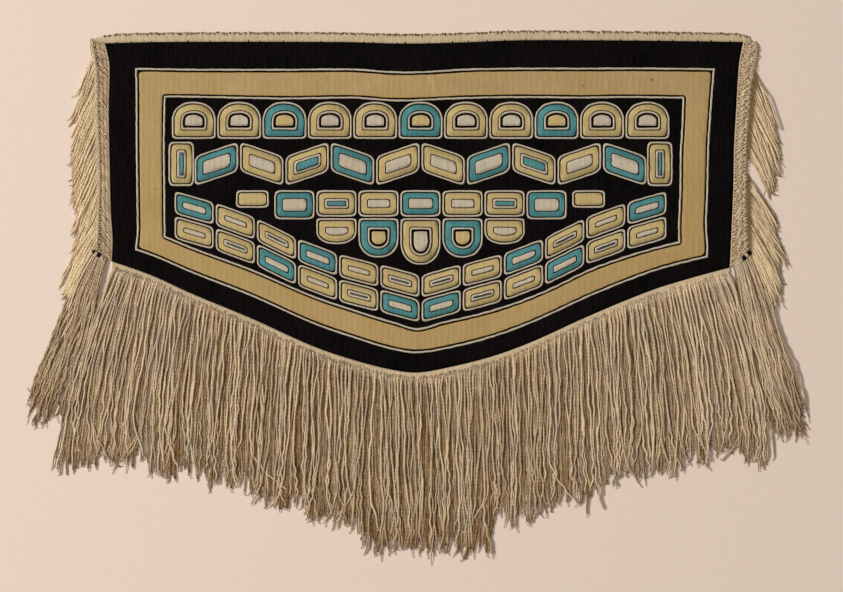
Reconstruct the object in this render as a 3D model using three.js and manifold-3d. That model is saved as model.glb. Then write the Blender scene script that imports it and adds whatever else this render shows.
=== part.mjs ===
// A fringed dancing blanket, lying flat and face up with its heading towards +Y.
// All sizes are in millimetres. While the pieces are laid out, x runs from the line through the blanket's point
// and "down" is measured from the level of the woven panel's top edge towards the fringe.

import * as THREE from 'three';
import Module from 'manifold-3d';

// Driving dimensions
const SEAM_GAP = 0.3;
const FOOT_SEAM_GAP = 0.36; // measured straight down, across a seam that slopes
const PANEL_THICKNESS = 3;
const PANEL_COLUMNS = 26;
const PANEL_ROWS = 9;
const HEADING_DEPTH = 21;
const HEADING_THICKNESS = 5;
const HEADING_OVERHANG = 11;
const FOOTING_DEPTH = 16;
const FOOTING_THICKNESS = 4;
const BRAID_THICKNESS = 7;
const EDGE_DROP = 0.35; // share of its thickness that a strip loses at its edges
const FRINGE_LOCKS = 48;
const FRINGE_THICKNESS = 7;
const FRINGE_SPINE_DEPTH = 14;
const FRINGE_UNEVEN = { drift: 5, fall: 12, width: 0.14, thickness: 0.1, bow: 4 };
const SPINE_HEIGHT = 0.8; // share of its fringe's thickness
const SIDE_LOCKS = 13;
const SIDE_LOCK_WIDTH = 12;
const SIDE_LOCK_BOW = 4;
const SIDE_SPINE_WIDTH = 6;
const SIDE_ROOT_CLEARANCE = 2;
const SIDE_UNEVEN = { reach: 0.1, fall: 0.08, width: 0.2 };
const TASSEL_LOCKS = 6;
const TASSEL_LOCK_WIDTH = 14;
const TASSEL_LOCK_BOW = 12;
const TASSEL_THICKNESS = 8;
const TASSEL_NECK_DEPTH = 10;
const TASSEL_UNEVEN = { fall: 12, width: 0.2 };
const TIE_DEPTH = 8;
const TIE_THICKNESS = 9;
const LOCK_EDGE_HEIGHT = 0.55; // share of a lock's thickness left along its edges
const LOCK_TIP_THINNING = 0.45; // share of its thickness that a lock loses by its tip

// The four edges of the woven panel, each a row for every place where the edge changes its run
const TOP_EDGE = [
  { x: -704, down: 2 },
  { x: -580, down: -1 },
  { x: -175, down: -1 },
  { x: -29, down: 2.5 },
  { x: 95, down: 0 },
  { x: 230, down: -5 },
  { x: 455, down: -4.5 },
  { x: 635, down: -2.5 },
  { x: 731, down: -1 },
];
const LEFT_EDGE = [
  { down: 2, x: -704 },
  { down: 26, x: -697.5 },
  { down: 53, x: -693 },
  { down: 152, x: -695 },
  { down: 276, x: -693 },
  { down: 386, x: -690 },
  { down: 444, x: -686 },
  { down: 492, x: -688 },
];
const RIGHT_EDGE = [
  { down: -1, x: 731 },
  { down: 48, x: 722 },
  { down: 152, x: 715.5 },
  { down: 231, x: 711 },
  { down: 332, x: 709 },
  { down: 444, x: 704 },
  { down: 506, x: 701 },
];
const FOOT_EDGE = [
  { x: -688, down: 492 },
  { x: -598, down: 524 },
  { x: -508, down: 565 },
  { x: -373, down: 621 },
  { x: -238, down: 682 },
  { x: -148, down: 713 },
  { x: -58, down: 736 },
  { x: 0, down: 742 },
  { x: 76, down: 729 },
  { x: 166, down: 706 },
  { x: 256, down: 673 },
  { x: 391, down: 612 },
  { x: 526, down: 557 },
  { x: 616, down: 529 },
  { x: 701, down: 506 },
];

// Width of each side braid at shares of its length, and how far down its outer edge starts and ends
const LEFT_BRAID = [
  { share: 0, width: 33 },
  { share: 0.1, width: 38 },
  { share: 0.3, width: 33 },
  { share: 0.7, width: 31 },
  { share: 1, width: 43 },
];
const RIGHT_BRAID = [
  { share: 0, width: 34 },
  { share: 0.1, width: 40 },
  { share: 0.25, width: 32 },
  { share: 0.7, width: 32 },
  { share: 1, width: 41 },
];
const LEFT_BRAID_ENDS = { top: -10, foot: 463 };
const RIGHT_BRAID_ENDS = { top: 4, foot: 466 };

// Fringe along the foot: where a lock leaves the footing, how far its tip drifts sideways and how far it falls
const FOOT_FRINGE = [
  { root: -684, drift: -113, fall: 430 },
  { root: -580, drift: -72, fall: 416 },
  { root: -480, drift: -47, fall: 400 },
  { root: -367, drift: -27, fall: 366 },
  { root: -265, drift: -18, fall: 376 },
  { root: -142, drift: -7, fall: 378 },
  { root: -104, drift: -2, fall: 414 },
  { root: 0, drift: 9, fall: 392 },
  { root: 83, drift: 7, fall: 414 },
  { root: 158, drift: 5, fall: 424 },
  { root: 190, drift: 4, fall: 368 },
  { root: 275, drift: 3, fall: 390 },
  { root: 320, drift: 6, fall: 372 },
  { root: 455, drift: 22, fall: 386 },
  { root: 522, drift: 32, fall: 402 },
  { root: 646, drift: 68, fall: 394 },
  { root: 697, drift: 108, fall: 412 },
];

// Fringe off each braid: where a lock leaves it, how far its tip stands out and how far it falls
const LEFT_FRINGE = [
  { down: 22, reach: 40, fall: 145 },
  { down: 110, reach: 50, fall: 160 },
  { down: 250, reach: 56, fall: 162 },
  { down: 360, reach: 64, fall: 160 },
  { down: 440, reach: 84, fall: 138 },
];
const RIGHT_FRINGE = [
  { down: 62, reach: 52, fall: 170 },
  { down: 150, reach: 62, fall: 155 },
  { down: 240, reach: 50, fall: 140 },
  { down: 330, reach: 68, fall: 150 },
  { down: 440, reach: 80, fall: 140 },
];

// Stretches of a braid's slanting foot, as shares from its inner to its outer corner
const TIE_SPAN = { from: 0.32, to: 0.98 };
const NECK_SPAN = { from: 0.36, to: 0.94 };
const ROOT_SPAN = { from: 0.45, to: 0.86 };

// Corner tassels: the tips of the outermost and the innermost lock
const LEFT_TASSEL = { outer: { x: -879, down: 836 }, inner: { x: -803, down: 868 } };
const RIGHT_TASSEL = { outer: { x: 868, down: 876 }, inner: { x: 806, down: 896 } };

const COLOURS = {
  panel: 0x171413,
  heading: 0xab9779,
  footing: 0xb09a7c,
  braid: 0xa88f72,
  fringe: 0x947c5e,
  tie: 0x1a1614,
};
const WOOL_ROUGHNESS = 0.95;

const wasm = await Module();
wasm.setup();

const lerp = THREE.MathUtils.lerp;
const within = (span, t) => lerp(span.from, span.to, t);

// A repeatable unevenness between -1 and 1 for the numbered lock of a fringe
function uneven(index, salt) {
  const wave = Math.sin(index * 12.9898 + salt * 78.233) * 43758.5453;
  return 2 * (wave - Math.floor(wave)) - 1;
}

// A smooth curve through the rows of a table: cubic pieces whose slope at a row is that of its two neighbours
function curveThrough(rows, from, to) {
  const last = rows.length - 1;
  const slopes = rows.map((row, i) => {
    const before = rows[Math.max(i - 1, 0)];
    const after = rows[Math.min(i + 1, last)];
    return (after[to] - before[to]) / (after[from] - before[from]);
  });
  return (at) => {
    if (at <= rows[0][from]) return rows[0][to];
    if (at >= rows[last][from]) return rows[last][to];
    const next = rows.findIndex((row) => row[from] > at);
    const start = rows[next - 1];
    const end = rows[next];
    const span = end[from] - start[from];
    const t = (at - start[from]) / span;
    const rise = THREE.MathUtils.smoothstep(t, 0, 1) * (end[to] - start[to]);
    const swing = t * (1 - t) * span;
    return start[to] + rise + swing * ((1 - t) * slopes[next - 1] - t * slopes[next]);
  };
}

// Straight runs between the rows of a table
function linesThrough(rows, from, to) {
  return (at) => {
    const found = rows.findIndex((row) => row[from] >= at);
    const next = found < 0 ? rows.length - 1 : Math.max(found, 1);
    const start = rows[next - 1];
    const end = rows[next];
    const t = THREE.MathUtils.clamp((at - start[from]) / (end[from] - start[from]), 0, 1);
    return lerp(start[to], end[to], t);
  };
}

// The height of a strip with rounded edges, at a share of the way across it
const rounded = (thickness, share) => thickness * (1 - EDGE_DROP * Math.abs(2 * share - 1) ** 3);

// A closed pad lying on the ground: place(u, v) gives its plan, with u to the right of v, and height(u, v) its top
function padGeometry(place, height, columns, rows) {
  const positions = [];
  const faces = [];
  const stride = columns + 1;
  const layer = stride * (rows + 1);
  const quad = (a, b, c, d) => faces.push(a, b, c, a, c, d);
  for (const level of [0, 1]) {
    for (let row = 0; row <= rows; row += 1) {
      for (let column = 0; column <= columns; column += 1) {
        const u = column / columns;
        const v = row / rows;
        const spot = place(u, v);
        positions.push(spot.x, -spot.down, level * height(u, v));
      }
    }
  }
  for (let row = 0; row < rows; row += 1) {
    for (let column = 0; column < columns; column += 1) {
      const a = row * stride + column;
      quad(layer + a, layer + a + stride, layer + a + stride + 1, layer + a + 1);
      quad(a, a + 1, a + stride + 1, a + stride);
    }
    const left = row * stride;
    const right = left + columns;
    quad(left, left + stride, layer + left + stride, layer + left);
    quad(right + stride, right, layer + right, layer + right + stride);
  }
  for (let column = 0; column < columns; column += 1) {
    const far = column;
    const near = rows * stride + column;
    quad(far + 1, far, layer + far, layer + far + 1);
    quad(near, near + 1, layer + near + 1, layer + near);
  }
  const geometry = new THREE.BufferGeometry();
  geometry.setAttribute('position', new THREE.Float32BufferAttribute(positions, 3));
  geometry.setIndex(faces);
  return geometry;
}

// Joins overlapping closed geometries into one closed geometry
function joined(geometries) {
  const solids = geometries.map((geometry) => new wasm.Manifold(new wasm.Mesh({
    numProp: 3,
    vertProperties: geometry.getAttribute('position').array,
    triVerts: new Uint32Array(geometry.getIndex().array),
  })));
  const whole = solids.reduce((sum, solid) => sum.add(solid)).getMesh();
  const geometry = new THREE.BufferGeometry();
  geometry.setAttribute('position', new THREE.Float32BufferAttribute(whole.vertProperties, 3));
  geometry.setIndex([...whole.triVerts]);
  return geometry;
}

// A lock of yarn from root to tip, bowed sideways, thickest along its middle and thinning to its tip
function lockGeometry({ root, tip, rootWidth, tipWidth, thickness, bow }) {
  const run = new THREE.Vector2(tip.x - root.x, tip.down - root.down);
  const sideways = new THREE.Vector2(run.y, -run.x).normalize();
  const place = (u, v) => {
    const side = (u - 0.5) * lerp(rootWidth, tipWidth, v) + bow * Math.sin(Math.PI * v);
    return { x: root.x + run.x * v + sideways.x * side, down: root.down + run.y * v + sideways.y * side };
  };
  const height = (u, v) => {
    const thinned = thickness * (1 - LOCK_TIP_THINNING * v ** 3);
    return u === 0.5 ? thinned : thinned * LOCK_EDGE_HEIGHT;
  };
  return padGeometry(place, height, 2, 3);
}

const topDown = curveThrough(TOP_EDGE, 'x', 'down');
const leftX = curveThrough(LEFT_EDGE, 'down', 'x');
const rightX = curveThrough(RIGHT_EDGE, 'down', 'x');
const footDown = curveThrough(FOOT_EDGE, 'x', 'down');
const corner = {
  topLeft: TOP_EDGE[0],
  topRight: TOP_EDGE.at(-1),
  footLeft: FOOT_EDGE[0],
  footRight: FOOT_EDGE.at(-1),
};

// The panel is a patch between its four edges: the sum of its two rulings less the ruling of its corners
function panelPlace(u, v) {
  const topX = lerp(corner.topLeft.x, corner.topRight.x, u);
  const footX = lerp(corner.footLeft.x, corner.footRight.x, u);
  const leftDown = lerp(corner.topLeft.down, corner.footLeft.down, v);
  const rightDown = lerp(corner.topRight.down, corner.footRight.down, v);
  const cornerX = lerp(topX, footX, v);
  const cornerDown = lerp(leftDown, rightDown, u);
  return {
    x: lerp(topX, footX, v) + lerp(leftX(leftDown), rightX(rightDown), u) - cornerX,
    down: lerp(topDown(topX), footDown(footX), v) + lerp(leftDown, rightDown, u) - cornerDown,
  };
}

const wovenPanel = () => padGeometry(panelPlace, () => PANEL_THICKNESS, PANEL_COLUMNS, PANEL_ROWS);

// The heading keeps the panel's columns along the seam and adds one for its overhang
function headingStrip() {
  const columns = PANEL_COLUMNS + 1;
  const place = (u, v) => {
    const share = u * columns / PANEL_COLUMNS;
    const overhang = share > 1 ? HEADING_OVERHANG : 0;
    const x = lerp(corner.topLeft.x, corner.topRight.x, Math.min(share, 1)) + overhang;
    return { x, down: topDown(x) - lerp(HEADING_DEPTH, SEAM_GAP, v) };
  };
  return padGeometry(place, (u, v) => rounded(HEADING_THICKNESS, v), columns, 3);
}

function footingBand() {
  const place = (u, v) => {
    const x = lerp(corner.footLeft.x, corner.footRight.x, u);
    return { x, down: footDown(x) + lerp(FOOT_SEAM_GAP, FOOTING_DEPTH, v) };
  };
  return padGeometry(place, (u, v) => rounded(FOOTING_THICKNESS, v), PANEL_COLUMNS, 2);
}

function bottomFringe() {
  const drift = linesThrough(FOOT_FRINGE, 'root', 'drift');
  const fall = linesThrough(FOOT_FRINGE, 'root', 'fall');
  const start = FOOT_FRINGE[0].root;
  const pitch = (FOOT_FRINGE.at(-1).root - start) / FRINGE_LOCKS;
  const rootDown = (x) => footDown(x) + FOOTING_DEPTH + FOOT_SEAM_GAP;
  const spinePlace = (u, v) => {
    const x = lerp(corner.footLeft.x, corner.footRight.x, u);
    return { x, down: rootDown(x) + FRINGE_SPINE_DEPTH * v };
  };
  const spine = padGeometry(spinePlace, () => FRINGE_THICKNESS * SPINE_HEIGHT, PANEL_COLUMNS, 1);
  const locks = Array.from({ length: FRINGE_LOCKS }, (_, i) => {
    const x = start + pitch * (i + 0.5);
    const tipPitch = pitch + drift(x + pitch / 2) - drift(x - pitch / 2);
    return lockGeometry({
      root: { x, down: rootDown(x) + FRINGE_SPINE_DEPTH * 0.75 },
      tip: {
        x: x + drift(x) + FRINGE_UNEVEN.drift * uneven(i, 1),
        down: rootDown(x) + fall(x) + FRINGE_UNEVEN.fall * uneven(i, 2),
      },
      rootWidth: pitch * 0.95,
      tipWidth: tipPitch * (0.8 + FRINGE_UNEVEN.width * uneven(i, 3)),
      thickness: FRINGE_THICKNESS * (1 + FRINGE_UNEVEN.thickness * uneven(i, 4)),
      bow: FRINGE_UNEVEN.bow * uneven(i, 5),
    });
  });
  return joined([spine, ...locks]);
}

// The lines that one side's braid, fringe, binding and tassel share, with side -1 for the left and 1 for the right
function sideOf(side, edgeX, braidRows, ends) {
  const width = curveThrough(braidRows, 'share', 'width');
  const inner = (share) => {
    const edge = panelPlace(side > 0 ? 1 : 0, share);
    return { x: edge.x + side * SEAM_GAP, down: edge.down };
  };
  const outer = (share, beyond = 0) => {
    const down = lerp(ends.top, ends.foot, share);
    return { x: edgeX(down) + side * (width(share) + beyond), down };
  };
  const outward = (u) => (side > 0 ? u : 1 - u);
  const footStart = inner(1);
  const footRun = new THREE.Vector2(outer(1).x - footStart.x, outer(1).down - footStart.down);
  const footOut = new THREE.Vector2(-side * footRun.y, side * footRun.x).normalize();
  const alongFoot = (share, away) => ({
    x: footStart.x + footRun.x * share + footOut.x * away,
    down: footStart.down + footRun.y * share + footOut.y * away,
  });
  return { side, ends, inner, outer, outward, alongFoot };
}

function sideBraid({ inner, outer, outward }) {
  const place = (u, v) => {
    const near = inner(v);
    const far = outer(v);
    const share = outward(u);
    return { x: lerp(near.x, far.x, share), down: lerp(near.down, far.down, share) };
  };
  return padGeometry(place, (u) => rounded(BRAID_THICKNESS, u), 4, PANEL_ROWS);
}

function sideFringe({ side, ends, outer, outward }, rows) {
  const reach = linesThrough(rows, 'down', 'reach');
  const fall = linesThrough(rows, 'down', 'fall');
  const spine = padGeometry(
    (u, v) => outer(v, lerp(SEAM_GAP, SIDE_SPINE_WIDTH, outward(u))),
    () => FRINGE_THICKNESS * SPINE_HEIGHT,
    1,
    PANEL_ROWS,
  );
  const locks = Array.from({ length: SIDE_LOCKS }, (_, i) => {
    const down = lerp(rows[0].down, rows.at(-1).down, i / (SIDE_LOCKS - 1));
    const share = (down - ends.top) / (ends.foot - ends.top);
    const root = outer(share, SIDE_LOCK_WIDTH / 2 + SIDE_ROOT_CLEARANCE);
    const standsOut = (reach(down) - SIDE_SPINE_WIDTH) * (1 + SIDE_UNEVEN.reach * uneven(i, side));
    return lockGeometry({
      root,
      tip: { x: root.x + side * standsOut, down: down + fall(down) * (1 + SIDE_UNEVEN.fall * uneven(i, side + 5)) },
      rootWidth: SIDE_LOCK_WIDTH,
      tipWidth: SIDE_LOCK_WIDTH * (0.7 + SIDE_UNEVEN.width * uneven(i, side + 9)),
      thickness: FRINGE_THICKNESS,
      bow: side * SIDE_LOCK_BOW,
    });
  });
  return joined([spine, ...locks]);
}

function cornerTie({ outward, alongFoot }) {
  const place = (u, v) => alongFoot(within(TIE_SPAN, outward(u)), lerp(SEAM_GAP, TIE_DEPTH, v));
  return padGeometry(place, (u, v) => rounded(TIE_THICKNESS, v), 4, 4);
}

function cornerTassel({ side, outward, alongFoot }, { outer, inner }) {
  const start = TIE_DEPTH + SEAM_GAP;
  const neckPlace = (u, v) => alongFoot(within(NECK_SPAN, outward(u)), start + TASSEL_NECK_DEPTH * v);
  const neck = padGeometry(neckPlace, () => TASSEL_THICKNESS * SPINE_HEIGHT, 3, 1);
  const locks = Array.from({ length: TASSEL_LOCKS }, (_, i) => {
    const share = i / (TASSEL_LOCKS - 1);
    return lockGeometry({
      root: alongFoot(within(ROOT_SPAN, share), start + TASSEL_NECK_DEPTH * 0.3),
      tip: {
        x: lerp(inner.x, outer.x, share),
        down: lerp(inner.down, outer.down, share) + TASSEL_UNEVEN.fall * uneven(i, side + 3),
      },
      rootWidth: TASSEL_LOCK_WIDTH * 0.6,
      tipWidth: TASSEL_LOCK_WIDTH * (1 + TASSEL_UNEVEN.width * uneven(i, side + 7)),
      thickness: TASSEL_THICKNESS,
      bow: side * TASSEL_LOCK_BOW,
    });
  });
  return joined([neck, ...locks]);
}

function addPiece(group, name, geometry, color) {
  geometry.computeVertexNormals();
  const material = new THREE.MeshStandardMaterial({ color, roughness: WOOL_ROUGHNESS, metalness: 0 });
  const piece = new THREE.Mesh(geometry, material);
  piece.name = name;
  group.add(piece);
}

const left = sideOf(-1, leftX, LEFT_BRAID, LEFT_BRAID_ENDS);
const right = sideOf(1, rightX, RIGHT_BRAID, RIGHT_BRAID_ENDS);

const layout = new THREE.Group();
addPiece(layout, 'woven_panel', wovenPanel(), COLOURS.panel);
addPiece(layout, 'heading_strip', headingStrip(), COLOURS.heading);
addPiece(layout, 'footing_band', footingBand(), COLOURS.footing);
addPiece(layout, 'bottom_fringe', bottomFringe(), COLOURS.fringe);
addPiece(layout, 'side_braid_left', sideBraid(left), COLOURS.braid);
addPiece(layout, 'side_braid_right', sideBraid(right), COLOURS.braid);
addPiece(layout, 'side_fringe_left', sideFringe(left, LEFT_FRINGE), COLOURS.fringe);
addPiece(layout, 'side_fringe_right', sideFringe(right, RIGHT_FRINGE), COLOURS.fringe);
addPiece(layout, 'corner_tie_left', cornerTie(left), COLOURS.tie);
addPiece(layout, 'corner_tie_right', cornerTie(right), COLOURS.tie);
addPiece(layout, 'corner_tassel_left', cornerTassel(left, LEFT_TASSEL), COLOURS.fringe);
addPiece(layout, 'corner_tassel_right', cornerTassel(right, RIGHT_TASSEL), COLOURS.fringe);

// The blanket's own frame has its origin on the ground under the middle of its outline
const outline = new THREE.Box3().setFromObject(layout);
const middle = outline.getCenter(new THREE.Vector3());
layout.position.set(-middle.x, -middle.y, -outline.min.z);

const blanket = new THREE.Group();
blanket.add(layout);

export default blanket;
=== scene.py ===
# %% [markdown]
# # A fringed dancing blanket
# The blanket lies flat and face up. A five-sided woven panel has a dark border, a yellow band between white
# lines and a figured field. A natural wool heading runs along its top, a plaited strip down each side, and
# yarn fringes hang from the sides, the lower corners and the whole curved foot. The solid model gives the
# true outline. Here each piece is made again as fine cloth and yarn, in metres and in the same frame, so
# nothing has to be fitted afterwards.

# %% Load the frame
import bpy
import numpy as np
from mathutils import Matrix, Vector


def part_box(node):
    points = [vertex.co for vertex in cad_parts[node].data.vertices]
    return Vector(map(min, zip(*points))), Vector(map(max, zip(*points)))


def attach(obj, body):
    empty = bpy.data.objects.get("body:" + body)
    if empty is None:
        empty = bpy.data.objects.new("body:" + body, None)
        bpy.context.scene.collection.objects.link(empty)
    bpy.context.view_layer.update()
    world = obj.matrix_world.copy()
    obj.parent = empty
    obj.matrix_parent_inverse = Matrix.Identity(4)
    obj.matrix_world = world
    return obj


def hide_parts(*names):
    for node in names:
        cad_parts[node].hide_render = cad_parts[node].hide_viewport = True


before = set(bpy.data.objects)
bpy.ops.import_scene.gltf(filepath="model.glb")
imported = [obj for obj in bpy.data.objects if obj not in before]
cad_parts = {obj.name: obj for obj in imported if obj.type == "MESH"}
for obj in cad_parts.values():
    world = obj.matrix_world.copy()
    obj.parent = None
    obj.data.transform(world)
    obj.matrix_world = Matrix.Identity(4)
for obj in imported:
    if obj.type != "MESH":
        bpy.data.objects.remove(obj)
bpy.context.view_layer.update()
print("solid pieces:", sorted(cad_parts))

# %% [markdown]
# ## The outline
# A maker sees the panel as four edges that meet at four corners, each edge a little uneven because it is
# handwork. A spline tool could draw them, but a short table with a smooth curve through it can be read and
# corrected. `x` runs from the line through the blanket's point, and `down` from the top edge towards the
# fringe.

# %% The four edges of the panel
TOP_EDGE = np.array([  # x, down
    (-0.704, 0.002), (-0.580, -0.001), (-0.175, -0.001), (-0.029, 0.0025), (0.095, 0.0), (0.230, -0.005),
    (0.455, -0.0045), (0.635, -0.0025), (0.731, -0.001)])
LEFT_EDGE = np.array([  # down, x
    (0.002, -0.704), (0.026, -0.6975), (0.053, -0.693), (0.152, -0.695), (0.276, -0.693), (0.386, -0.690),
    (0.444, -0.686), (0.492, -0.688)])
RIGHT_EDGE = np.array([  # down, x
    (-0.001, 0.731), (0.048, 0.722), (0.152, 0.7155), (0.231, 0.711), (0.332, 0.709), (0.444, 0.704),
    (0.506, 0.701)])
FOOT_EDGE = np.array([  # x, down
    (-0.688, 0.492), (-0.598, 0.524), (-0.508, 0.565), (-0.373, 0.621), (-0.238, 0.682), (-0.148, 0.713),
    (-0.058, 0.736), (0.0, 0.742), (0.076, 0.729), (0.166, 0.706), (0.256, 0.673), (0.391, 0.612),
    (0.526, 0.557), (0.616, 0.529), (0.701, 0.506)])


def curve(table, at):
    """A smooth curve through a table's rows: cubic pieces, with the slope of its neighbours at each row."""
    places, values = table.T
    last = len(places) - 1
    before = np.maximum(np.arange(last + 1) - 1, 0)
    after = np.minimum(np.arange(last + 1) + 1, last)
    slopes = (values[after] - values[before]) / (places[after] - places[before])
    at = np.clip(at, places[0], places[-1])
    i = np.clip(np.searchsorted(places, at, side="right") - 1, 0, last - 1)
    span = places[i + 1] - places[i]
    t = (at - places[i]) / span
    rise = t * t * (3 - 2 * t) * (values[i + 1] - values[i])
    swing = t * (1 - t) * span * ((1 - t) * slopes[i] - t * slopes[i + 1])
    return values[i] + rise + swing


def lines(table, at, column=1):
    """Straight runs between a table's rows."""
    return np.interp(at, table[:, 0], table[:, column])


def mix(a, b, share):
    """The point a share of the way from a to b."""
    return a + (b - a) * share


def panel_place(u, v):
    """The patch between the four edges: the sum of its two rulings less the ruling of its corners."""
    top_x = mix(TOP_EDGE[0, 0], TOP_EDGE[-1, 0], u)
    foot_x = mix(FOOT_EDGE[0, 0], FOOT_EDGE[-1, 0], u)
    left_down = mix(LEFT_EDGE[0, 0], LEFT_EDGE[-1, 0], v)
    right_down = mix(RIGHT_EDGE[0, 0], RIGHT_EDGE[-1, 0], v)
    x = mix(curve(LEFT_EDGE, left_down), curve(RIGHT_EDGE, right_down), u)
    down = mix(curve(TOP_EDGE, top_x), curve(FOOT_EDGE, foot_x), v)
    return x, down


def unit_grid(columns, rows):
    """Shares across and down at the crossings of a grid of so many cells."""
    return np.meshgrid(np.linspace(0, 1, columns + 1), np.linspace(0, 1, rows + 1))


PANEL_COLUMNS, PANEL_ROWS = 26, 9
panel_low, panel_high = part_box("woven_panel")
plan_x, plan_down = panel_place(*unit_grid(PANEL_COLUMNS, PANEL_ROWS))
SHIFT_X = panel_low.x - plan_x.min()
TOP_Y = panel_high.y + plan_down.min()
print(f"layout to frame: x + {SHIFT_X:.4f}, y = {TOP_Y:.4f} - down")

# %% [markdown]
# ## Meshes from arrays
# Every piece below is a grid of points worked out as one array. The faces of a grid are index arithmetic,
# so the same few helpers serve cloth, lines, plaits and yarn. A piece is turned right side out by the sign
# of its volume.

# %% Mesh helpers
WOVEN, NATURAL, FRINGE, TIE = "woven_wool", "natural_wool", "fringe_yarn", "tie_yarn"


def to_frame(x, down, z):
    """Stacks layout places and heights into points of the blanket's frame."""
    x, down, z = np.broadcast_arrays(x, down, z)
    return np.stack([x + SHIFT_X, TOP_Y - down, z], axis=-1)


def grid_faces(rows, columns, close_rows=False, close_columns=False):
    """Quads between neighbouring rows and columns of a grid, wrapping round where it is closed."""
    r = np.arange(rows if close_rows else rows - 1)[:, None]
    c = np.arange(columns if close_columns else columns - 1)[None, :]
    r2, c2 = (r + 1) % rows, (c + 1) % columns
    corners = ((r, c), (r, c2), (r2, c2), (r2, c))
    quads = [np.broadcast_to(a * columns + b, (r.shape[0], c.shape[1])) for a, b in corners]
    return np.stack(quads, axis=-1).reshape(-1, 4)


def ring_cap(first, sides):
    """Quads that close an even ring of points: each takes the first point and the next two more."""
    k = np.arange(1, sides - 2, 2)
    return first + np.stack([0 * k, k, k + 1, k + 2], axis=-1)


def batch(faces, count, size):
    """The same faces for many like grids, each grid's points following the last."""
    return (faces[None] + np.arange(count)[:, None, None] * size).reshape(-1, 4)


def joined(parts):
    """Many (points, faces) as one, each part's faces moved past the points before it."""
    starts = np.cumsum([0] + [len(points) for points, _ in parts[:-1]])
    points = np.concatenate([points for points, _ in parts])
    return points, np.concatenate([faces + start for (_, faces), start in zip(parts, starts)])


def add_piece(name, points, faces, material, slot, nodes=(), uv=None, attributes=None):
    """Puts points and quads into a mesh, right side out, and ties the piece to the frame."""
    a, b, c, d = (points[faces[:, k]] for k in range(4))
    volume = np.einsum("ij,ij->", a, np.cross(b, c)) + np.einsum("ij,ij->", a, np.cross(c, d))
    if volume < 0:
        faces = faces[:, ::-1]
        uv = None if uv is None else uv.reshape(-1, 4, 2)[:, ::-1]
    mesh = bpy.data.meshes.new(name)
    mesh.vertices.add(len(points))
    mesh.vertices.foreach_set("co", np.ascontiguousarray(points, dtype=np.float32).ravel())
    mesh.loops.add(faces.size)
    mesh.loops.foreach_set("vertex_index", np.ascontiguousarray(faces, dtype=np.int32).ravel())
    mesh.polygons.add(len(faces))
    mesh.polygons.foreach_set("loop_start", np.arange(0, faces.size, 4, dtype=np.int32))
    if uv is not None:
        layer = mesh.uv_layers.new(name="UVMap")
        layer.uv.foreach_set("vector", np.ascontiguousarray(uv, dtype=np.float32).ravel())
    for key, values in (attributes or {}).items():
        layer = mesh.attributes.new(key, "FLOAT", "POINT")
        layer.data.foreach_set("value", values.astype(np.float32).ravel())
    mesh.update(calc_edges=True)
    mesh.shade_smooth()
    mesh.materials.append(material)
    piece = bpy.data.objects.new(name, mesh)
    bpy.context.scene.collection.objects.link(piece)
    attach(piece, "root")
    if nodes:
        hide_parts(*nodes)
    print(f"{name}: {2 * len(faces)} triangles")
    return piece


def pad(top, bottom):
    """A closed pad: a grid of top points, the same grid below it, and a rim between their edges."""
    rows, columns = top.shape[:2]
    size = rows * columns
    index = np.arange(size).reshape(rows, columns)
    rim = np.concatenate([index[0], index[1:, -1], index[-1, -2::-1], index[-2:0:-1, 0]])
    after = np.roll(rim, -1)
    flat = grid_faces(rows, columns)
    walls = np.stack([rim, rim + size, after + size, after], axis=-1)
    points = np.concatenate([top.reshape(-1, 3), bottom.reshape(-1, 3)])
    return points, np.concatenate([flat, flat[:, ::-1] + size, walls])


def quad_map(corners, shape):
    """The map of a grid of quads, from both map values at each of a quad's four corners."""
    spread = [np.stack([np.broadcast_to(value, shape) for value in corner], axis=-1) for corner in corners]
    return np.stack(spread, axis=-2)


def tubes(paths, radii, sides=6):
    """Closed tubes along many paths at once: a ring of points at each path point, square to the path.
    Gives points, faces and a map that runs once round each tube and along it in metres."""
    count, rings = paths.shape[:2]
    run = np.gradient(paths, axis=1)
    run /= np.linalg.norm(run, axis=-1, keepdims=True) + 1e-12
    side = np.cross(np.array([0.0, 0.0, 1.0]), run)
    side /= np.linalg.norm(side, axis=-1, keepdims=True) + 1e-9
    up = np.cross(run, side)
    angle = np.arange(sides) * 2 * np.pi / sides
    around = side[:, :, None] * np.cos(angle)[:, None] + up[:, :, None] * np.sin(angle)[:, None]
    points = paths[:, :, None] + radii[:, :, None, None] * around
    faces = np.concatenate([grid_faces(rings, sides, close_columns=True), ring_cap(0, sides)[:, ::-1],
                            ring_cap((rings - 1) * sides, sides)])
    step = np.linalg.norm(np.diff(paths, axis=1), axis=-1)
    length = np.concatenate([np.zeros((count, 1)), np.cumsum(step, axis=1)], axis=1)
    turn = np.arange(sides + 1) / sides
    low, high = length[:, :-1, None], length[:, 1:, None]
    corners = ((turn[:-1], low), (turn[1:], low), (turn[1:], high), (turn[:-1], high))
    wall = quad_map(corners, (count, rings - 1, sides))
    caps = np.zeros((count, sides - 2, 4, 2))
    caps[:, sides // 2 - 1:, :, 1] = length[:, -1, None, None]
    uv = np.concatenate([wall.reshape(count, -1, 4, 2), caps], axis=1)
    return points.reshape(-1, 3), batch(faces, count, rings * sides), uv


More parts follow.
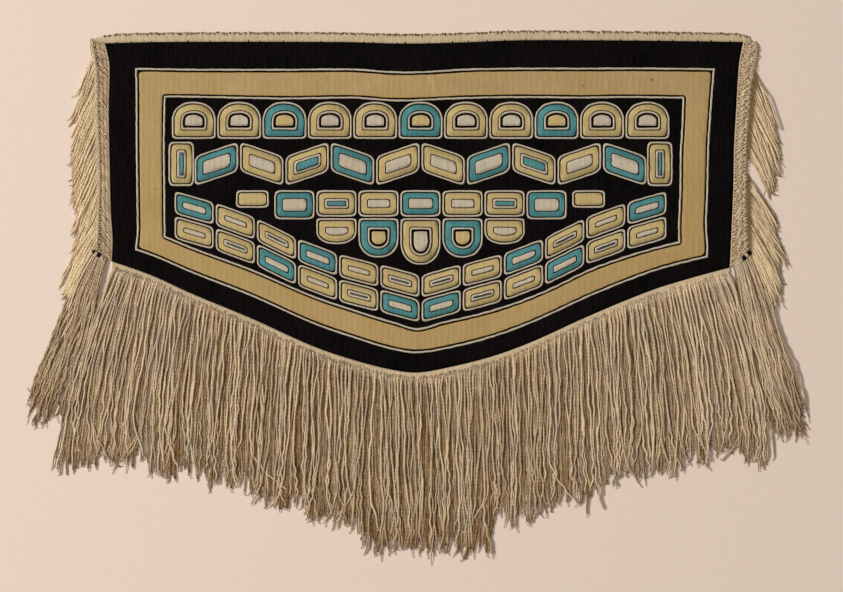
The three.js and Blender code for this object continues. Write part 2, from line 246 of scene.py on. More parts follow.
def yarn_piece(name, groups, material, slot, nodes=()):
    """Tubes from several groups as one piece. A group has paths, radii, tones, browning and a count of sides.
    Tones and browning are spread over each yarn's rings."""
    parts, maps, tones, tips = [], [], [], []
    for paths, radii, tone, tip, sides in groups:
        shape = paths.shape[:2]
        points, faces, uv = tubes(paths, np.broadcast_to(radii, shape), sides)
        parts.append((points, faces))
        maps.append(uv.reshape(-1, 4, 2))
        tones.append(np.repeat(np.broadcast_to(tone, shape).ravel(), sides))
        tips.append(np.repeat(np.broadcast_to(tip, shape).ravel(), sides))
    attributes = {"tone": np.concatenate(tones), "tip": np.concatenate(tips)}
    return add_piece(name, *joined(parts), material, slot, nodes, np.concatenate(maps), attributes)


# %% [markdown]
# ## Shader maths
# A shader is a network of nodes. Writing it as Python expressions keeps it readable: `Shade` wraps one
# socket, and each operator adds the Math node that does the same.

# %% Shader helpers
class Shade:
    """One output socket of a material's nodes. Operators on it add Math nodes, and node() adds any other."""

    def __init__(self, tree, socket=None):
        self.tree, self.socket = tree, socket

    def node(self, kind, settings=None, inputs=None, output=0):
        """Adds a node with its settings, links or sets its inputs, and gives one of its outputs."""
        made = self.tree.nodes.new(kind)
        for key, value in (settings or {}).items():
            setattr(made, key, value)
        for key, value in (inputs or {}).items():
            if isinstance(value, Shade):
                self.tree.links.new(value.socket, made.inputs[key])
            else:
                made.inputs[key].default_value = value
        return Shade(self.tree, made.outputs[output])

    def maths(self, operation, *others):
        """A Math node on this value and any others."""
        return self.node("ShaderNodeMath", {"operation": operation}, dict(enumerate((self, *others))))

    def __add__(self, other):
        return self.maths("ADD", other)

    def __sub__(self, other):
        return self.maths("SUBTRACT", other)

    def __rsub__(self, other):
        return self.node("ShaderNodeMath", {"operation": "SUBTRACT"}, {0: other, 1: self})

    def __mul__(self, other):
        return self.maths("MULTIPLY", other)

    def wave(self):
        """The sine of this value, brought into 0 to 1."""
        return self.maths("SINE") * 0.5 + 0.5

    def clamp(self, low, high):
        """This value's share of the way from low to high, kept within 0 and 1."""
        return self.node("ShaderNodeMapRange", {"clamp": True}, {0: self, 1: low, 2: high, 3: 0.0, 4: 1.0})

    def between(self, a, b):
        """The colour this share of the way from a to b."""
        return self.node("ShaderNodeMix", {"data_type": "RGBA"}, {0: self, 6: a, 7: b}, 2)

    def part(self, axis):
        """One coordinate of this place or map."""
        return self.node("ShaderNodeSeparateXYZ", None, {0: self}, axis)

    def stretched(self, across, along):
        """This place with its first two axes scaled."""
        return self.node("ShaderNodeMapping", None, {"Vector": self, "Scale": (across, along, 1.0)})

    def noise(self, scale, detail):
        """Cloudy noise from 0 to 1 over this place, with so many clouds to the metre."""
        inputs = {"Vector": self, "Scale": scale, "Detail": detail}
        return self.node("ShaderNodeTexNoise", None, inputs, "Fac")


def dye(red, green, blue):
    """A colour given as 0 to 255 screen values, as the linear light that a shader takes."""
    screen = np.array([red, green, blue]) / 255
    linear = np.where(screen <= 0.04045, screen / 12.92, ((screen + 0.055) / 1.055) ** 2.4)
    return (*linear.tolist(), 1.0)


def start_material(name, roughness, shine=0.10):
    """A new material with a matt Principled shader, and a Shade to build its nodes from."""
    material = bpy.data.materials.new(name)
    material.use_nodes = True
    tree = material.node_tree
    shader = tree.nodes["Principled BSDF"]
    shader.inputs["Roughness"].default_value = roughness
    shader.inputs["Specular IOR Level"].default_value = shine
    return material, Shade(tree), shader


def finish_material(net, shader, colour, height, depth):
    """Links the colour, and the height as a bump of that depth in metres."""
    bump = net.node("ShaderNodeBump", None, {"Height": height, "Distance": depth, "Strength": 1.0})
    net.tree.links.new(colour.socket, shader.inputs["Base Color"])
    net.tree.links.new(bump.socket, shader.inputs["Normal"])


# %% [markdown]
# ## The woven cloth's finish
# Twining wraps coloured weft about upright warps, so the whole panel shows fine upright ribs crossed by
# rows of slanting stitches, whatever the colour. One function makes every dye of the same weave on object
# coordinates, so the ribs run on from one colour to the next. Streaks that follow the warps stand for
# uneven dyeing and fading.

# %% Woven materials
WARP_PITCH, ROW_PITCH, WEAVE_DEPTH = 0.0027, 0.0034, 0.0009
MATT = 0.95  # roughness of wool
STAIN = dye(74, 50, 34)
BAND_STAINS = (  # x, down, radius, strength
    (0.5265, 0.0845, 0.0050, 1.2), (0.3715, 0.0975, 0.0045, 1.1), (-0.205, 0.0800, 0.0040, 0.5),
    (-0.590, 0.3300, 0.0060, 0.4), (0.6420, 0.2100, 0.0055, 0.4))


def woven_wool(name, colour, streak, streak_share, edge=None, shine=0.06, stains=()):
    """Twined wool in one dye: upright ribs, slanting stitches, and streaks of a second shade along the warps.
    With an edge shade, the colour brightens towards the two long edges of the piece's own map. A stain is a
    soft brown spot at a layout place, with its radius and strength."""
    material, net, shader = start_material(name, MATT, shine)
    place = net.node("ShaderNodeTexCoord", output="Object")
    x, y = place.part("X"), place.part("Y")
    streaks = place.stretched(230.0, 22.0).noise(1.0, 3.0)
    flecks = place.stretched(520.0, 130.0).noise(1.0, 2.0)
    patches = place.noise(9.0, 2.0)
    fuzz = place.noise(900.0, 2.0)
    ribs = (x * (2 * np.pi / WARP_PITCH)).wave()
    stitches = (y * (2 * np.pi / ROW_PITCH) + x * (np.pi / WARP_PITCH)).wave()
    share = (streaks * 0.40 + patches * 0.25 + flecks * 0.35).clamp(0.38, 0.62) * streak_share
    shade = share.between(colour, streak)
    if edge is not None:
        across = net.node("ShaderNodeUVMap", {"uv_map": "UVMap"}).part("X")
        near = (across * 2 - 1).maths("ABSOLUTE")
        kept = (TOP_Y - y).clamp(0.05, 0.30) * 0.16
        gold = near.clamp(0.84, 0.98) * (streaks * 0.6 + patches * 0.6).clamp(0.42, 0.75)
        shade = gold.maths("MAXIMUM", kept).between(shade, edge)
    for stain_x, stain_down, radius, strength in stains:
        off_x, off_y = x - (stain_x + SHIFT_X), y - (TOP_Y - stain_down)
        away = (off_x * off_x + off_y * off_y).maths("SQRT")
        shade = ((1 - away.clamp(0.2 * radius, radius)) * (flecks * strength)).between(shade, STAIN)
    finish_material(net, shader, shade, ribs * 0.55 + stitches * 0.3 + fuzz * 0.4, WEAVE_DEPTH)
    return material


black_wool = woven_wool("black wool", dye(7, 6, 7), dye(26, 21, 21), 0.9, shine=0.0)
yellow_wool = woven_wool("yellow band wool", dye(190, 161, 113), dye(170, 140, 93), 1.0, dye(188, 148, 60),
                         stains=BAND_STAINS)
pale_yellow_wool = woven_wool("pale yellow wool", dye(203, 180, 128), dye(186, 158, 100), 0.9)
teal_wool = woven_wool("blue-green wool", dye(92, 150, 150), dye(70, 122, 120), 1.0)
white_wool = woven_wool("white wool", dye(208, 194, 170), dye(178, 160, 134), 0.8)
dark_wool = woven_wool("dark line wool", dye(18, 15, 14), dye(28, 23, 20), 0.6, shine=0.0)
print("woven materials:", [m.name for m in bpy.data.materials if "wool" in m.name])

# %% [markdown]
# ## The panel's ground
# The panel is one sheet of black twining, with soft unevenness and one slack fold under the heading. Cloth
# simulation would drape it, but it lies flat, so its few soft ridges are given as bell curves. The
# height function is kept, because every line and figure lies on this cloth.

# %% The sheet
PANEL_THICKNESS = panel_high.z - panel_low.z
RIDGES = np.array([  # x, down, turn from upright, length, breadth, height
    (0.036, 0.088, 0.42, 0.030, 0.0055, 0.0011), (0.020, 0.075, 0.25, 0.040, 0.0100, -0.0007),
    (0.060, 0.080, 0.30, 0.045, 0.0120, 0.0007), (-0.030, 0.040, 1.35, 0.070, 0.0160, -0.0006),
    (0.330, 0.070, -0.10, 0.050, 0.0180, 0.0005), (-0.360, 0.075, 0.12, 0.055, 0.0200, 0.0005),
    (0.640, 0.260, 0.08, 0.120, 0.0200, 0.0006), (-0.640, 0.300, -0.05, 0.130, 0.0220, 0.0006),
    (-0.300, 0.600, -1.10, 0.090, 0.0180, 0.0005), (0.340, 0.590, 1.12, 0.090, 0.0180, 0.0005)])


SWELL = 0.0003  # height of the slow swell


def cloth_height(x, down):
    """The top of the cloth: its thickness, a slow swell, and bell-shaped ridges along short lines."""
    z = PANEL_THICKNESS + SWELL * np.sin(x * 21.0 + 1.3 * np.sin(down * 9.0)) * np.cos(down * 14.0)
    for ridge_x, ridge_down, turn, length, breadth, height in RIDGES:
        over, under = x - ridge_x, down - ridge_down
        across = over * np.cos(turn) - under * np.sin(turn)
        along = over * np.sin(turn) + under * np.cos(turn)
        z = z + height * np.exp(-(across / breadth) ** 2 - (along / length) ** 2)
    return z


GROUND_COLUMNS, GROUND_ROWS = 156, 68
ground_x, ground_down = panel_place(*unit_grid(GROUND_COLUMNS, GROUND_ROWS))
ground_top = to_frame(ground_x, ground_down, cloth_height(ground_x, ground_down))
ground_bottom = to_frame(ground_x, ground_down, 0.0)
ground = add_piece("panel_ground", *pad(ground_top, ground_bottom), black_wool, WOVEN, ["woven_panel"])

# %% [markdown]
# ## The border lines
# Between the black border and the yellow band runs a raised white line with a thin dark one inside it, and
# the same pair, turned about, runs between the band and the field. They follow the panel's edges at
# distances that drift a little along each side. Each distance is a short table, and a loop's corners are
# where its four sides cross.

# %% Loops inside the panel's edges
TOP_INSETS = np.array([  # x, outer, inner
    (-0.63, 0.0596, 0.1225), (-0.52, 0.0624, 0.1230), (-0.40, 0.0630, 0.1258), (-0.29, 0.0629, 0.1274),
    (-0.14, 0.0613, 0.1246), (-0.055, 0.0647, 0.1280), (0.03, 0.0639, 0.1263), (0.115, 0.0612, 0.1252),
    (0.20, 0.0634, 0.1272), (0.37, 0.0640, 0.1290), (0.46, 0.0628, 0.1270), (0.66, 0.0622, 0.1275)])
LEFT_INSETS = np.array([  # down, outer, inner
    (0.06, 0.0590, 0.1255), (0.14, 0.0624, 0.1251), (0.24, 0.0617, 0.1224), (0.35, 0.0606, 0.1210),
    (0.41, 0.0585, 0.1188), (0.46, 0.0525, 0.1150)])
RIGHT_INSETS = np.array([  # down, outer, inner
    (0.07, 0.0553, 0.1205), (0.14, 0.0572, 0.1195), (0.20, 0.0576, 0.1182), (0.25, 0.0580, 0.1192),
    (0.36, 0.0584, 0.1185), (0.41, 0.0578, 0.1184), (0.46, 0.0522, 0.1150)])
FOOT_INSETS = np.array([  # x, outer, inner
    (-0.65, 0.0450, 0.0960), (-0.50, 0.0490, 0.1030), (-0.36, 0.0520, 0.1090), (-0.16, 0.0520, 0.1120),
    (-0.05, 0.0472, 0.1060), (0.0, 0.0455, 0.0975), (0.06, 0.0446, 0.1035), (0.30, 0.0446, 0.1000),
    (0.40, 0.0450, 0.1020), (0.55, 0.0422, 0.0905), (0.65, 0.0380, 0.0840)])
OUTER, INNER = 1, 2
PANEL_SIDES = {  # edge, insets, which way is inwards, how long a step inwards is on that side's own axis
    "top": (TOP_EDGE, TOP_INSETS, 1, 1.0), "right": (RIGHT_EDGE, RIGHT_INSETS, -1, 1.0),
    "foot": (FOOT_EDGE, FOOT_INSETS, -1, 1.07), "left": (LEFT_EDGE, LEFT_INSETS, 1, 1.0)}
SIDE_STATIONS = {"top": 280, "right": 84, "foot": 300, "left": 84}
LOOP_CORNERS = (("left", "top"), ("right", "top"), ("right", "foot"), ("left", "foot"))
CORNER_GUESS = {"top": 0.06, "foot": 0.45}
CORNER_PASSES = 30


def side_line(side, at, line, extra=0.0):
    """A border line along one side: the panel's edge, drawn in by the line's inset and some extra."""
    edge, insets, inwards, step = PANEL_SIDES[side]
    return curve(edge, at) + inwards * (curve(insets[:, [0, line]], at) + extra * step)


def crossing(upright, level, line, extra):
    """Where an upright side meets a level one, found by following each in turn."""
    down = CORNER_GUESS[level]
    for _ in range(CORNER_PASSES):
        x = side_line(upright, down, line, extra)
        down = side_line(level, x, line, extra)
    return x, down


def border_loop(line, extra):
    """A closed loop at a line's inset plus some extra: each side in turn, from corner to corner."""
    corners = [crossing(*pair, line, extra) for pair in LOOP_CORNERS]
    x, down = [], []
    for start, stop, (side, count) in zip(corners, corners[1:] + corners[:1], SIDE_STATIONS.items()):
        share = np.arange(count) / count
        if side in CORNER_GUESS:
            x.append(mix(start[0], stop[0], share))
            down.append(side_line(side, x[-1], line, extra))
        else:
            down.append(mix(start[1], stop[1], share))
            x.append(side_line(side, down[-1], line, extra))
    return np.concatenate(x), np.concatenate(down)


def rounded(loop, passes=2):
    """A closed loop whose corners are eased: each point moves to the mean of itself and its neighbours."""
    x, down = loop
    for _ in range(passes):
        x, down = ((np.roll(a, 1) + a + np.roll(a, -1)) / 3 for a in (x, down))
    return x, down


def hand_wobble(x, down, size):
    """The small unevenness of handwork, from three crossing waves."""
    waves = np.sin(x * 310 + down * 170) + np.sin(x * 127 - down * 233 + 1.7) + np.sin(down * 410 + x * 60)
    return size * waves / 3


def carried(outer, inner, across, heights, wobble):
    """A closed profile carried round between two loops: each profile point lies a share of the way across and
    at a height over the cloth. Gives points, faces and a map with the share across and the way along."""
    x = mix(outer[0][:, None], inner[0][:, None], across)
    down = mix(outer[1][:, None], inner[1][:, None], across)
    shift = hand_wobble(x, down, wobble)
    points = to_frame(x + shift, down + shift, cloth_height(x, down) + heights)
    stations, size = points.shape[:2]
    faces = grid_faces(stations, size, close_rows=True, close_columns=True)
    here, there = (np.arange(first, first + stations)[:, None] / stations for first in (0, 1))
    after = np.roll(across, -1)
    uv = quad_map(((across, here), (after, here), (after, there), (across, there)), (stations, size))
    return points.reshape(-1, 3), faces, uv


# %% The yellow band
BAND_PROFILE = np.array([  # share across, height over the cloth
    (0.0, -0.0006), (0.02, 0.0002), (0.08, 0.0005), (0.20, 0.0006), (0.32, 0.0006), (0.44, 0.0006),
    (0.56, 0.0006), (0.68, 0.0006), (0.80, 0.0006), (0.92, 0.0005), (0.98, 0.0002), (1.0, -0.0006),
    (0.5, -0.0009)])
YELLOW_FROM, YELLOW_TO = 0.0054, -0.0052
BAND_WOBBLE, LINE_WOBBLE, FIGURE_WOBBLE = 0.0004, 0.0006, 0.0005
band_sides = rounded(border_loop(OUTER, YELLOW_FROM)), rounded(border_loop(INNER, YELLOW_TO))
band_points, band_faces, band_uv = carried(*band_sides, *BAND_PROFILE.T, BAND_WOBBLE)
add_piece("yellow_band", band_points, band_faces, yellow_wool, WOVEN, uv=band_uv)

# %% White and dark lines
WHITE_WIDTH, DARK_WIDTH = 0.0044, 0.0034
WHITE_HEIGHT, DARK_HEIGHT = 0.0017, 0.0008
DARK_PLACE = 0.0039  # from the middle of a white line to that of the dark one beside it
SUNK = 0.0006  # how far a line's underside lies in the cloth
angles = np.linspace(0, 2 * np.pi, 8, endpoint=False)
ROPE_ACROSS, ROPE_UP = 0.5 - 0.5 * np.cos(angles), np.sin(angles)


def border_line(line, middle, width, height, passes=0):
    """A rounded cord lying on the cloth along a loop."""
    rise = ROPE_UP * np.where(ROPE_UP > 0, height, SUNK)
    outer, inner = (rounded(border_loop(line, middle + side * width / 2), passes) for side in (-1, 1))
    return carried(outer, inner, ROPE_ACROSS, rise, LINE_WOBBLE)[:2]


white_loops = [border_line(line, 0.0, WHITE_WIDTH, WHITE_HEIGHT) for line in (OUTER, INNER)]
dark_places = ((OUTER, DARK_PLACE), (INNER, -DARK_PLACE))
dark_loops = [border_line(line, middle, DARK_WIDTH, DARK_HEIGHT, 2) for line, middle in dark_places]
add_piece("border_white_lines", *joined(white_loops), white_wool, WOVEN)
add_piece("border_dark_lines", *joined(dark_loops), dark_wool, WOVEN)

# %% [markdown]
# ## The figured field
# The field is woven in the same cloth: figures in blue-green, pale yellow and white, each within a raised
# white line and a thin dark one, on the black ground. The design here is a plain one of its own in rows: an
# arcade, a zigzag, stepped tiles over hanging bowls, and two rows of slanting tiles that follow the foot.
# Every figure is one superellipse, |x|^a + |y|^b = 1, whose two halves may have powers of their own, so a
# table row can be a tile, an arch or a bowl. Rings and fills are stacked from the outside in, each fill a
# little higher than the one round it, as the overlapping wefts are.

# %% Figure outlines
FIGURES = {  # powers of the lower and the upper half
    "tile": (8, 8, 8, 8), "arch": (14, 14, 2.2, 2.2), "bowl": (2.2, 2.2, 14, 14)}
FIGURE_STEP = 0.0072
CORD_ACROSS, CORD_UP = np.array([0.0, 0.15, 0.5, 0.85, 1.0, 0.5]), np.array([0, 0.72, 1, 0.72, 0, -1])


def half_outline(a, b, count):
    """Half of |x|^a + |y|^b = 1 from its left to its right tip, at even steps of its own length."""
    t = np.linspace(np.pi, 0, 400)
    x = np.sign(np.cos(t)) * np.abs(np.cos(t)) ** (2 / a)
    y = np.abs(np.sin(t)) ** (2 / b)
    length = np.concatenate([[0], np.cumsum(np.hypot(np.diff(x), np.diff(y)))])
    even = np.linspace(0, length[-1], count)
    return np.interp(even, length, x), np.interp(even, length, y)


def figure_outline(figure, inset):
    """Both halves of a figure, drawn in by an inset, as x and down from the left tip to the right tip."""
    count = int(np.clip(np.ceil((figure["width"] + figure["height"]) / FIGURE_STEP), 10, 26))
    lower_a, lower_b, upper_a, upper_b = FIGURES[figure["kind"]]
    low_x, low_y = half_outline(lower_a, lower_b, count)
    high_x, high_y = half_outline(upper_a, upper_b, count)
    x = np.stack([low_x, high_x]) * (figure["width"] / 2 - inset)
    down = np.stack([low_y, -high_y]) * (figure["height"] / 2 - inset)
    return figure["x"] + x, figure["down"] + down + figure["slant"] * x


def figure_ring(figure, start, stop, lift, height):
    """A rounded line between two insets of a figure, closed all round."""
    loops = []
    for inset in (start, stop):
        x, down = figure_outline(figure, inset)
        loops.append((np.concatenate([x[0], x[1, -2:0:-1]]), np.concatenate([down[0], down[1, -2:0:-1]])))
    rise = np.where(CORD_UP > 0, lift + CORD_UP * height, -SUNK)
    return carried(*loops, CORD_ACROSS, rise, FIGURE_WOBBLE)[:2]


FILL_UNDER = 0.0008  # how far a fill's underside lies in the cloth


def figure_fill(figure, inset, height):
    """The cloth within a figure: straight runs from its lower to its upper half, over the cloth's height."""
    x, down = figure_outline(figure, inset)
    share = np.linspace(0, 1, 4)[:, None]
    fill_x, fill_down = mix(x[0], x[1], share), mix(down[0], down[1], share)
    shift = hand_wobble(fill_x, fill_down, FIGURE_WOBBLE)
    level = cloth_height(fill_x, fill_down)
    place = fill_x + shift, fill_down + shift
    return pad(to_frame(*place, level + height), to_frame(*place, level - FILL_UNDER))


# %% The field's own design
LINE, THIN, FILL = ("white_line", 0.0042), ("dark_line", 0.0024), 0.0
FINISHES = {  # rings from the outside in: dye and width, the last one filling what is left
    "yellow": (LINE, THIN, ("yellow", FILL)),
    "teal_bar": (LINE, THIN, ("teal", 0.0105), THIN, ("white", FILL)),
    "yellow_bar": (LINE, THIN, ("yellow", 0.0105), THIN, ("white", 0.004), THIN, ("teal", FILL)),
    "white_bar": (LINE, THIN, ("yellow", 0.0125), THIN, ("white", FILL)),
    "teal_nest": (LINE, THIN, ("teal", 0.012), THIN, LINE, ("black", 0.005), ("yellow", FILL)),
    "yellow_nest": (LINE, THIN, ("yellow", 0.012), THIN, LINE, ("black", 0.005), ("white", FILL))}
FILL_HEIGHT, FILL_STEP = 0.0005, 0.0004
LINE_HEIGHTS = {"white_line": 0.0011, "dark_line": 0.0004}
FIELD_TOP, FIELD_MIDDLE = 0.128, 0.006


def figure_row(kind, x, down, width, height, finish, slant=0.0):
    """One figure of the design, placed from the field's middle line and its top."""
    return dict(kind=kind, x=x, down=FIELD_TOP + down, width=width, height=height, finish=finish, slant=slant)


TILE_REACH, FOOT_TILE = 0.03, (0.0885, 0.052)


def foot_tile(x, above, finish):
    """A tile that follows the field's foot, at a height above it."""
    near, far = (side_line("foot", FIELD_MIDDLE + x + step, INNER) for step in (-TILE_REACH, TILE_REACH))
    slant = (far - near) / (2 * TILE_REACH)
    return figure_row("tile", x, (near + far) / 2 - FIELD_TOP - above, *FOOT_TILE, finish, slant)


ARCH_PITCH, STEP_PITCH, TILE_PITCH = 0.102, 0.0945, 0.0925
NESTS = ("teal_nest", "yellow_nest", "yellow_nest")
BARS = ("white_bar", "teal_bar", "yellow_bar", "white_bar", "teal_bar")
ZIGZAG_SLANT = (0.34, -0.34)
STEP_TILES = (  # width, height, finish
    (0.091, 0.060, "teal_bar"), (0.091, 0.060, "white_bar"), (0.091, 0.060, "yellow_bar"),
    (0.091, 0.066, "teal_bar"), (0.074, 0.040, "yellow"))
HANGING = ((0.105, "yellow_nest"), (0.089, "teal_nest"), (0.059, "white_bar"))  # height, finish
FOOT_ROWS = (  # height above the foot, finishes
    (0.040, ("teal_bar", "yellow_bar", "white_bar")), (0.096, ("yellow_bar", "white_bar", "teal_bar")))
ARCADE = [figure_row("arch", ARCH_PITCH * k, 0.047, 0.099, 0.084, NESTS[k % 3]) for k in range(6)]
ZIGZAG = [figure_row("tile", ARCH_PITCH * (k + 0.5), 0.145, 0.098, 0.068, BARS[k], ZIGZAG_SLANT[k % 2])
          for k in range(5)]
STEPS = [figure_row("tile", STEP_PITCH * k, 0.204 + height / 2, width, height, finish)
         for k, (width, height, finish) in enumerate(STEP_TILES)]
BOWLS = [figure_row("bowl", STEP_PITCH * k, 0.267 + height / 2, 0.091, height, finish)
         for k, (height, finish) in enumerate(HANGING)]
ENDS = [figure_row("tile", 0.538, 0.145, 0.058, 0.100, "yellow_bar")]
FOLLOWING = [foot_tile(0.0465 + TILE_PITCH * k, above, finishes[k % 3])
             for above, finishes in FOOT_ROWS for k in range(6)]
paired = ARCADE[1:] + ZIGZAG + STEPS[1:] + BOWLS[1:] + ENDS + FOLLOWING
mirrored = [{**figure, "x": -figure["x"], "slant": -figure["slant"]} for figure in paired]
figures = [ARCADE[0], STEPS[0], BOWLS[0]] + paired + mirrored
figures = [{**figure, "x": figure["x"] + FIELD_MIDDLE} for figure in figures]
FIELD_DYES = {"white_line": white_wool, "dark_line": dark_wool, "white": white_wool, "teal": teal_wool,
              "yellow": pale_yellow_wool, "black": black_wool}
field_parts = {colour: [] for colour in FIELD_DYES}
for figure in figures:
    inset, lift = 0.0, 0.0
    for colour, width in FINISHES[figure["finish"]]:
        if colour in LINE_HEIGHTS:
            height = LINE_HEIGHTS[colour] + FILL_HEIGHT
            field_parts[colour].append(figure_ring(figure, inset, inset + width, lift, height))
        else:
            field_parts[colour].append(figure_fill(figure, inset, lift + FILL_HEIGHT))
            lift += FILL_STEP
        inset += width
for colour, parts in field_parts.items():
    add_piece(f"field_{colour}", *joined(parts), FIELD_DYES[colour], WOVEN)
print(f"{len(figures)} figures in the field")

# %% [markdown]
# ## Natural wool and yarn
# Undyed wool is never one colour: every yarn has its own shade, and dirt gathers in the tips. Lower yarns are
# painted darker, as painted shade. Each yarn carries a tone and a tip value as attributes, the tone holding
# both its own shade and any painted shade, and its own map gives the slant of its two twisted plies.

# %% Yarn materials
PLY_TURN, PLY_DEPTH = 0.0085, 0.0006


def yarn(name, dark, light, tip_shade, grey=None):
    """Two-ply yarn: shade by the yarn's tone, which holds its own shade and any painted shade, browner
    towards its tip, with ply grooves that wind along its map and darken it there, as painted shade. With a
    grey, its palest shade turns to that in patches."""
    material, net, shader = start_material(name, MATT)
    place = net.node("ShaderNodeTexCoord", output="Object")
    own_map = net.node("ShaderNodeUVMap", {"uv_map": "UVMap"})
    tone = net.node("ShaderNodeAttribute", {"attribute_name": "tone"}, output="Fac")
    tip = net.node("ShaderNodeAttribute", {"attribute_name": "tip"}, output="Fac")
    ply = (own_map.part("Y") * (2 * np.pi / PLY_TURN) + own_map.part("X") * (4 * np.pi)).wave()
    # the ply term darkens the colour in the grooves between the plies: painted shade
    share = (tone * 0.85 + place.noise(95.0, 3.0) * 0.5 - 0.22) * (ply * 0.2 + 0.84)
    if grey is not None:
        light = place.noise(17.0, 3.0).clamp(0.46, 0.62).between(light, grey)
    colour = tip.between(share.clamp(0.0, 1.0).between(dark, light), tip_shade)
    finish_material(net, shader, colour, ply + place.noise(1400.0, 2.0) * 0.5, PLY_DEPTH)
    return material


# the fringe yarn's dark end mostly colours the painted shade of the lower fringe layers
fringe_yarn = yarn("fringe yarn", dye(116, 81, 38), dye(226, 200, 164), dye(134, 86, 42), dye(207, 187, 160))
# the side yarn's dark end colours the painted shade of low side yarns and the braid's painted shadow on roots
side_yarn = yarn("side fringe yarn", dye(122, 97, 65), dye(232, 205, 164), dye(158, 120, 80))
plait_yarn = yarn("plaited yarn", dye(138, 113, 86), dye(228, 200, 164), dye(150, 120, 90))
stitch_yarn = yarn("brown stitch yarn", dye(100, 70, 50), dye(168, 134, 102), dye(70, 44, 30))
tie_black = yarn("black tie yarn", dye(13, 11, 11), dye(26, 22, 21), dye(13, 11, 11))
# the left braid's ground is darker than its stitches and shows between them as painted shade
braid_gap_shade_wool = woven_wool("braid ground shade wool", dye(152, 124, 92), dye(128, 102, 74), 1.0)
strip_wool = woven_wool("natural strip wool", dye(216, 194, 158), dye(184, 161, 126), 1.0)
seed = np.random.default_rng(18)

# %% [markdown]
# ## The heading and the footing
# The heading is a stiff natural strip whipped along the top edge, drooping at both ends on to the braids,
# and the footing is a few natural rows under the black border. Both are ribbed across by the warps. A
# ribbed strip is a grid whose height rises and falls along it.

# %% Ribbed strips
RIB_PITCH = 0.0042
HEADING_RISE = np.array([  # x, depth above the panel's top edge
    (-0.735, 0.0100), (-0.705, 0.0170), (-0.675, 0.0205), (-0.300, 0.0212), (0.200, 0.0210), (0.690, 0.0195),
    (0.730, 0.0175), (0.742, 0.0120), (0.748, 0.0030)])
HEADING_THICKNESS, FOOTING_THICKNESS = 0.0052, 0.004
HEADING_RIB, FOOTING_RIB = 0.0008, 0.0004
FOOTING_DEPTH = 0.016
SEAM = 0.0003


def ribbed_strip(x, near, far, thickness, rib, rows=6):
    """A pad along x between two edges, rounded across it and ribbed along it; the underside is flat."""
    share = np.linspace(0, 1, rows)[:, None]
    down = mix(near, far, share)
    rounding = 1 - 0.35 * np.abs(2 * share - 1) ** 3
    swell = np.abs(np.sin(np.pi * x / RIB_PITCH + 0.6 * np.sin(x * 90)))
    z = thickness * rounding - rib * (1 - swell)
    x = np.broadcast_to(x, down.shape)
    return pad(to_frame(x, down, z), to_frame(x, down, 0.0))


heading_x = np.linspace(HEADING_RISE[0, 0], HEADING_RISE[-1, 0], 1060)
heading_foot = curve(TOP_EDGE, heading_x)
ragged = 0.0007 * np.sin(heading_x * 420) + 0.0006 * np.sin(heading_x * 173 + 1)
heading_head = heading_foot - lines(HEADING_RISE, heading_x) + ragged
heading_pad = ribbed_strip(heading_x, heading_head, heading_foot - SEAM, HEADING_THICKNESS, HEADING_RIB)
add_piece("heading_cloth", *heading_pad, strip_wool, NATURAL, ["heading_strip"])
footing_x = np.linspace(FOOT_EDGE[0, 0], FOOT_EDGE[-1, 0], 1000)
footing_top = curve(FOOT_EDGE, footing_x)
footing_foot = footing_top + FOOTING_DEPTH
footing_pad = ribbed_strip(footing_x, footing_top + SEAM, footing_foot, FOOTING_THICKNESS, FOOTING_RIB, 5)
add_piece("footing_cloth", *footing_pad, strip_wool, NATURAL, ["footing_band"])

# %% Whip stitches over the heading
STITCHES, STITCH_RINGS = 300, 6
STITCH_RADIUS, STITCH_LENGTH, STITCH_OVER = 0.0011, 0.0064, 0.0010
stitch_x = np.linspace(HEADING_RISE[1, 0], HEADING_RISE[-2, 0], STITCHES) + seed.normal(0, 0.0014, STITCHES)
lean = seed.normal(0.0020, 0.0026, (STITCHES, 1))
reach = STITCH_LENGTH * seed.uniform(0.5, 1.2, (STITCHES, 1))
s = np.linspace(0, 1, STITCH_RINGS)[None, :]
over_x = stitch_x[:, None] + lean * (s - 0.5)
over_down = np.interp(stitch_x, heading_x, heading_head)[:, None] - STITCH_OVER + reach * s ** 1.4
over_z = 0.0022 + (HEADING_THICKNESS - 0.0018) * np.sin(np.minimum(s * 1.6, 1) * np.pi / 2) - 0.0006 * s ** 4
swelling = 0.55 + 0.45 * np.sin(np.pi * (0.08 + 0.84 * s))
stitch_radius = STITCH_RADIUS * seed.uniform(0.5, 1.15, (STITCHES, 1)) * swelling
stitch_tone = seed.uniform(0, 1, (STITCHES, 1))
whipping = (to_frame(over_x, over_down, over_z), stitch_radius, stitch_tone, 0.0, 6)
yarn_piece("heading_stitches", [whipping], stitch_yarn, NATURAL)

# %% Black turns of weft that catch the heading's lower edge
NOTCHES, NOTCH_RINGS = 34, 5
NOTCH_RADIUS, NOTCH_START = 0.0019, 0.0025
notch_x = np.linspace(TOP_EDGE[0, 0] + 0.02, TOP_EDGE[-1, 0] - 0.03, NOTCHES) + seed.normal(0, 0.006, NOTCHES)
s = np.linspace(0, 1, NOTCH_RINGS)[None, :]
notch_reach = seed.uniform(0.0015, 0.0042, (NOTCHES, 1))
notch_down = curve(TOP_EDGE, notch_x)[:, None] + NOTCH_START - (notch_reach + NOTCH_START) * s
notch_path = to_frame(notch_x[:, None] + 0.0012 * (s - 0.5), notch_down, 0.0026 + 0.0016 * s)
notch_radius = NOTCH_RADIUS * seed.uniform(0.7, 1.1, (NOTCHES, 1)) * (1 - 0.5 * s)
yarn_piece("heading_notches", [(notch_path, notch_radius, 0.3, 0.0, 6)], tie_black, NATURAL)

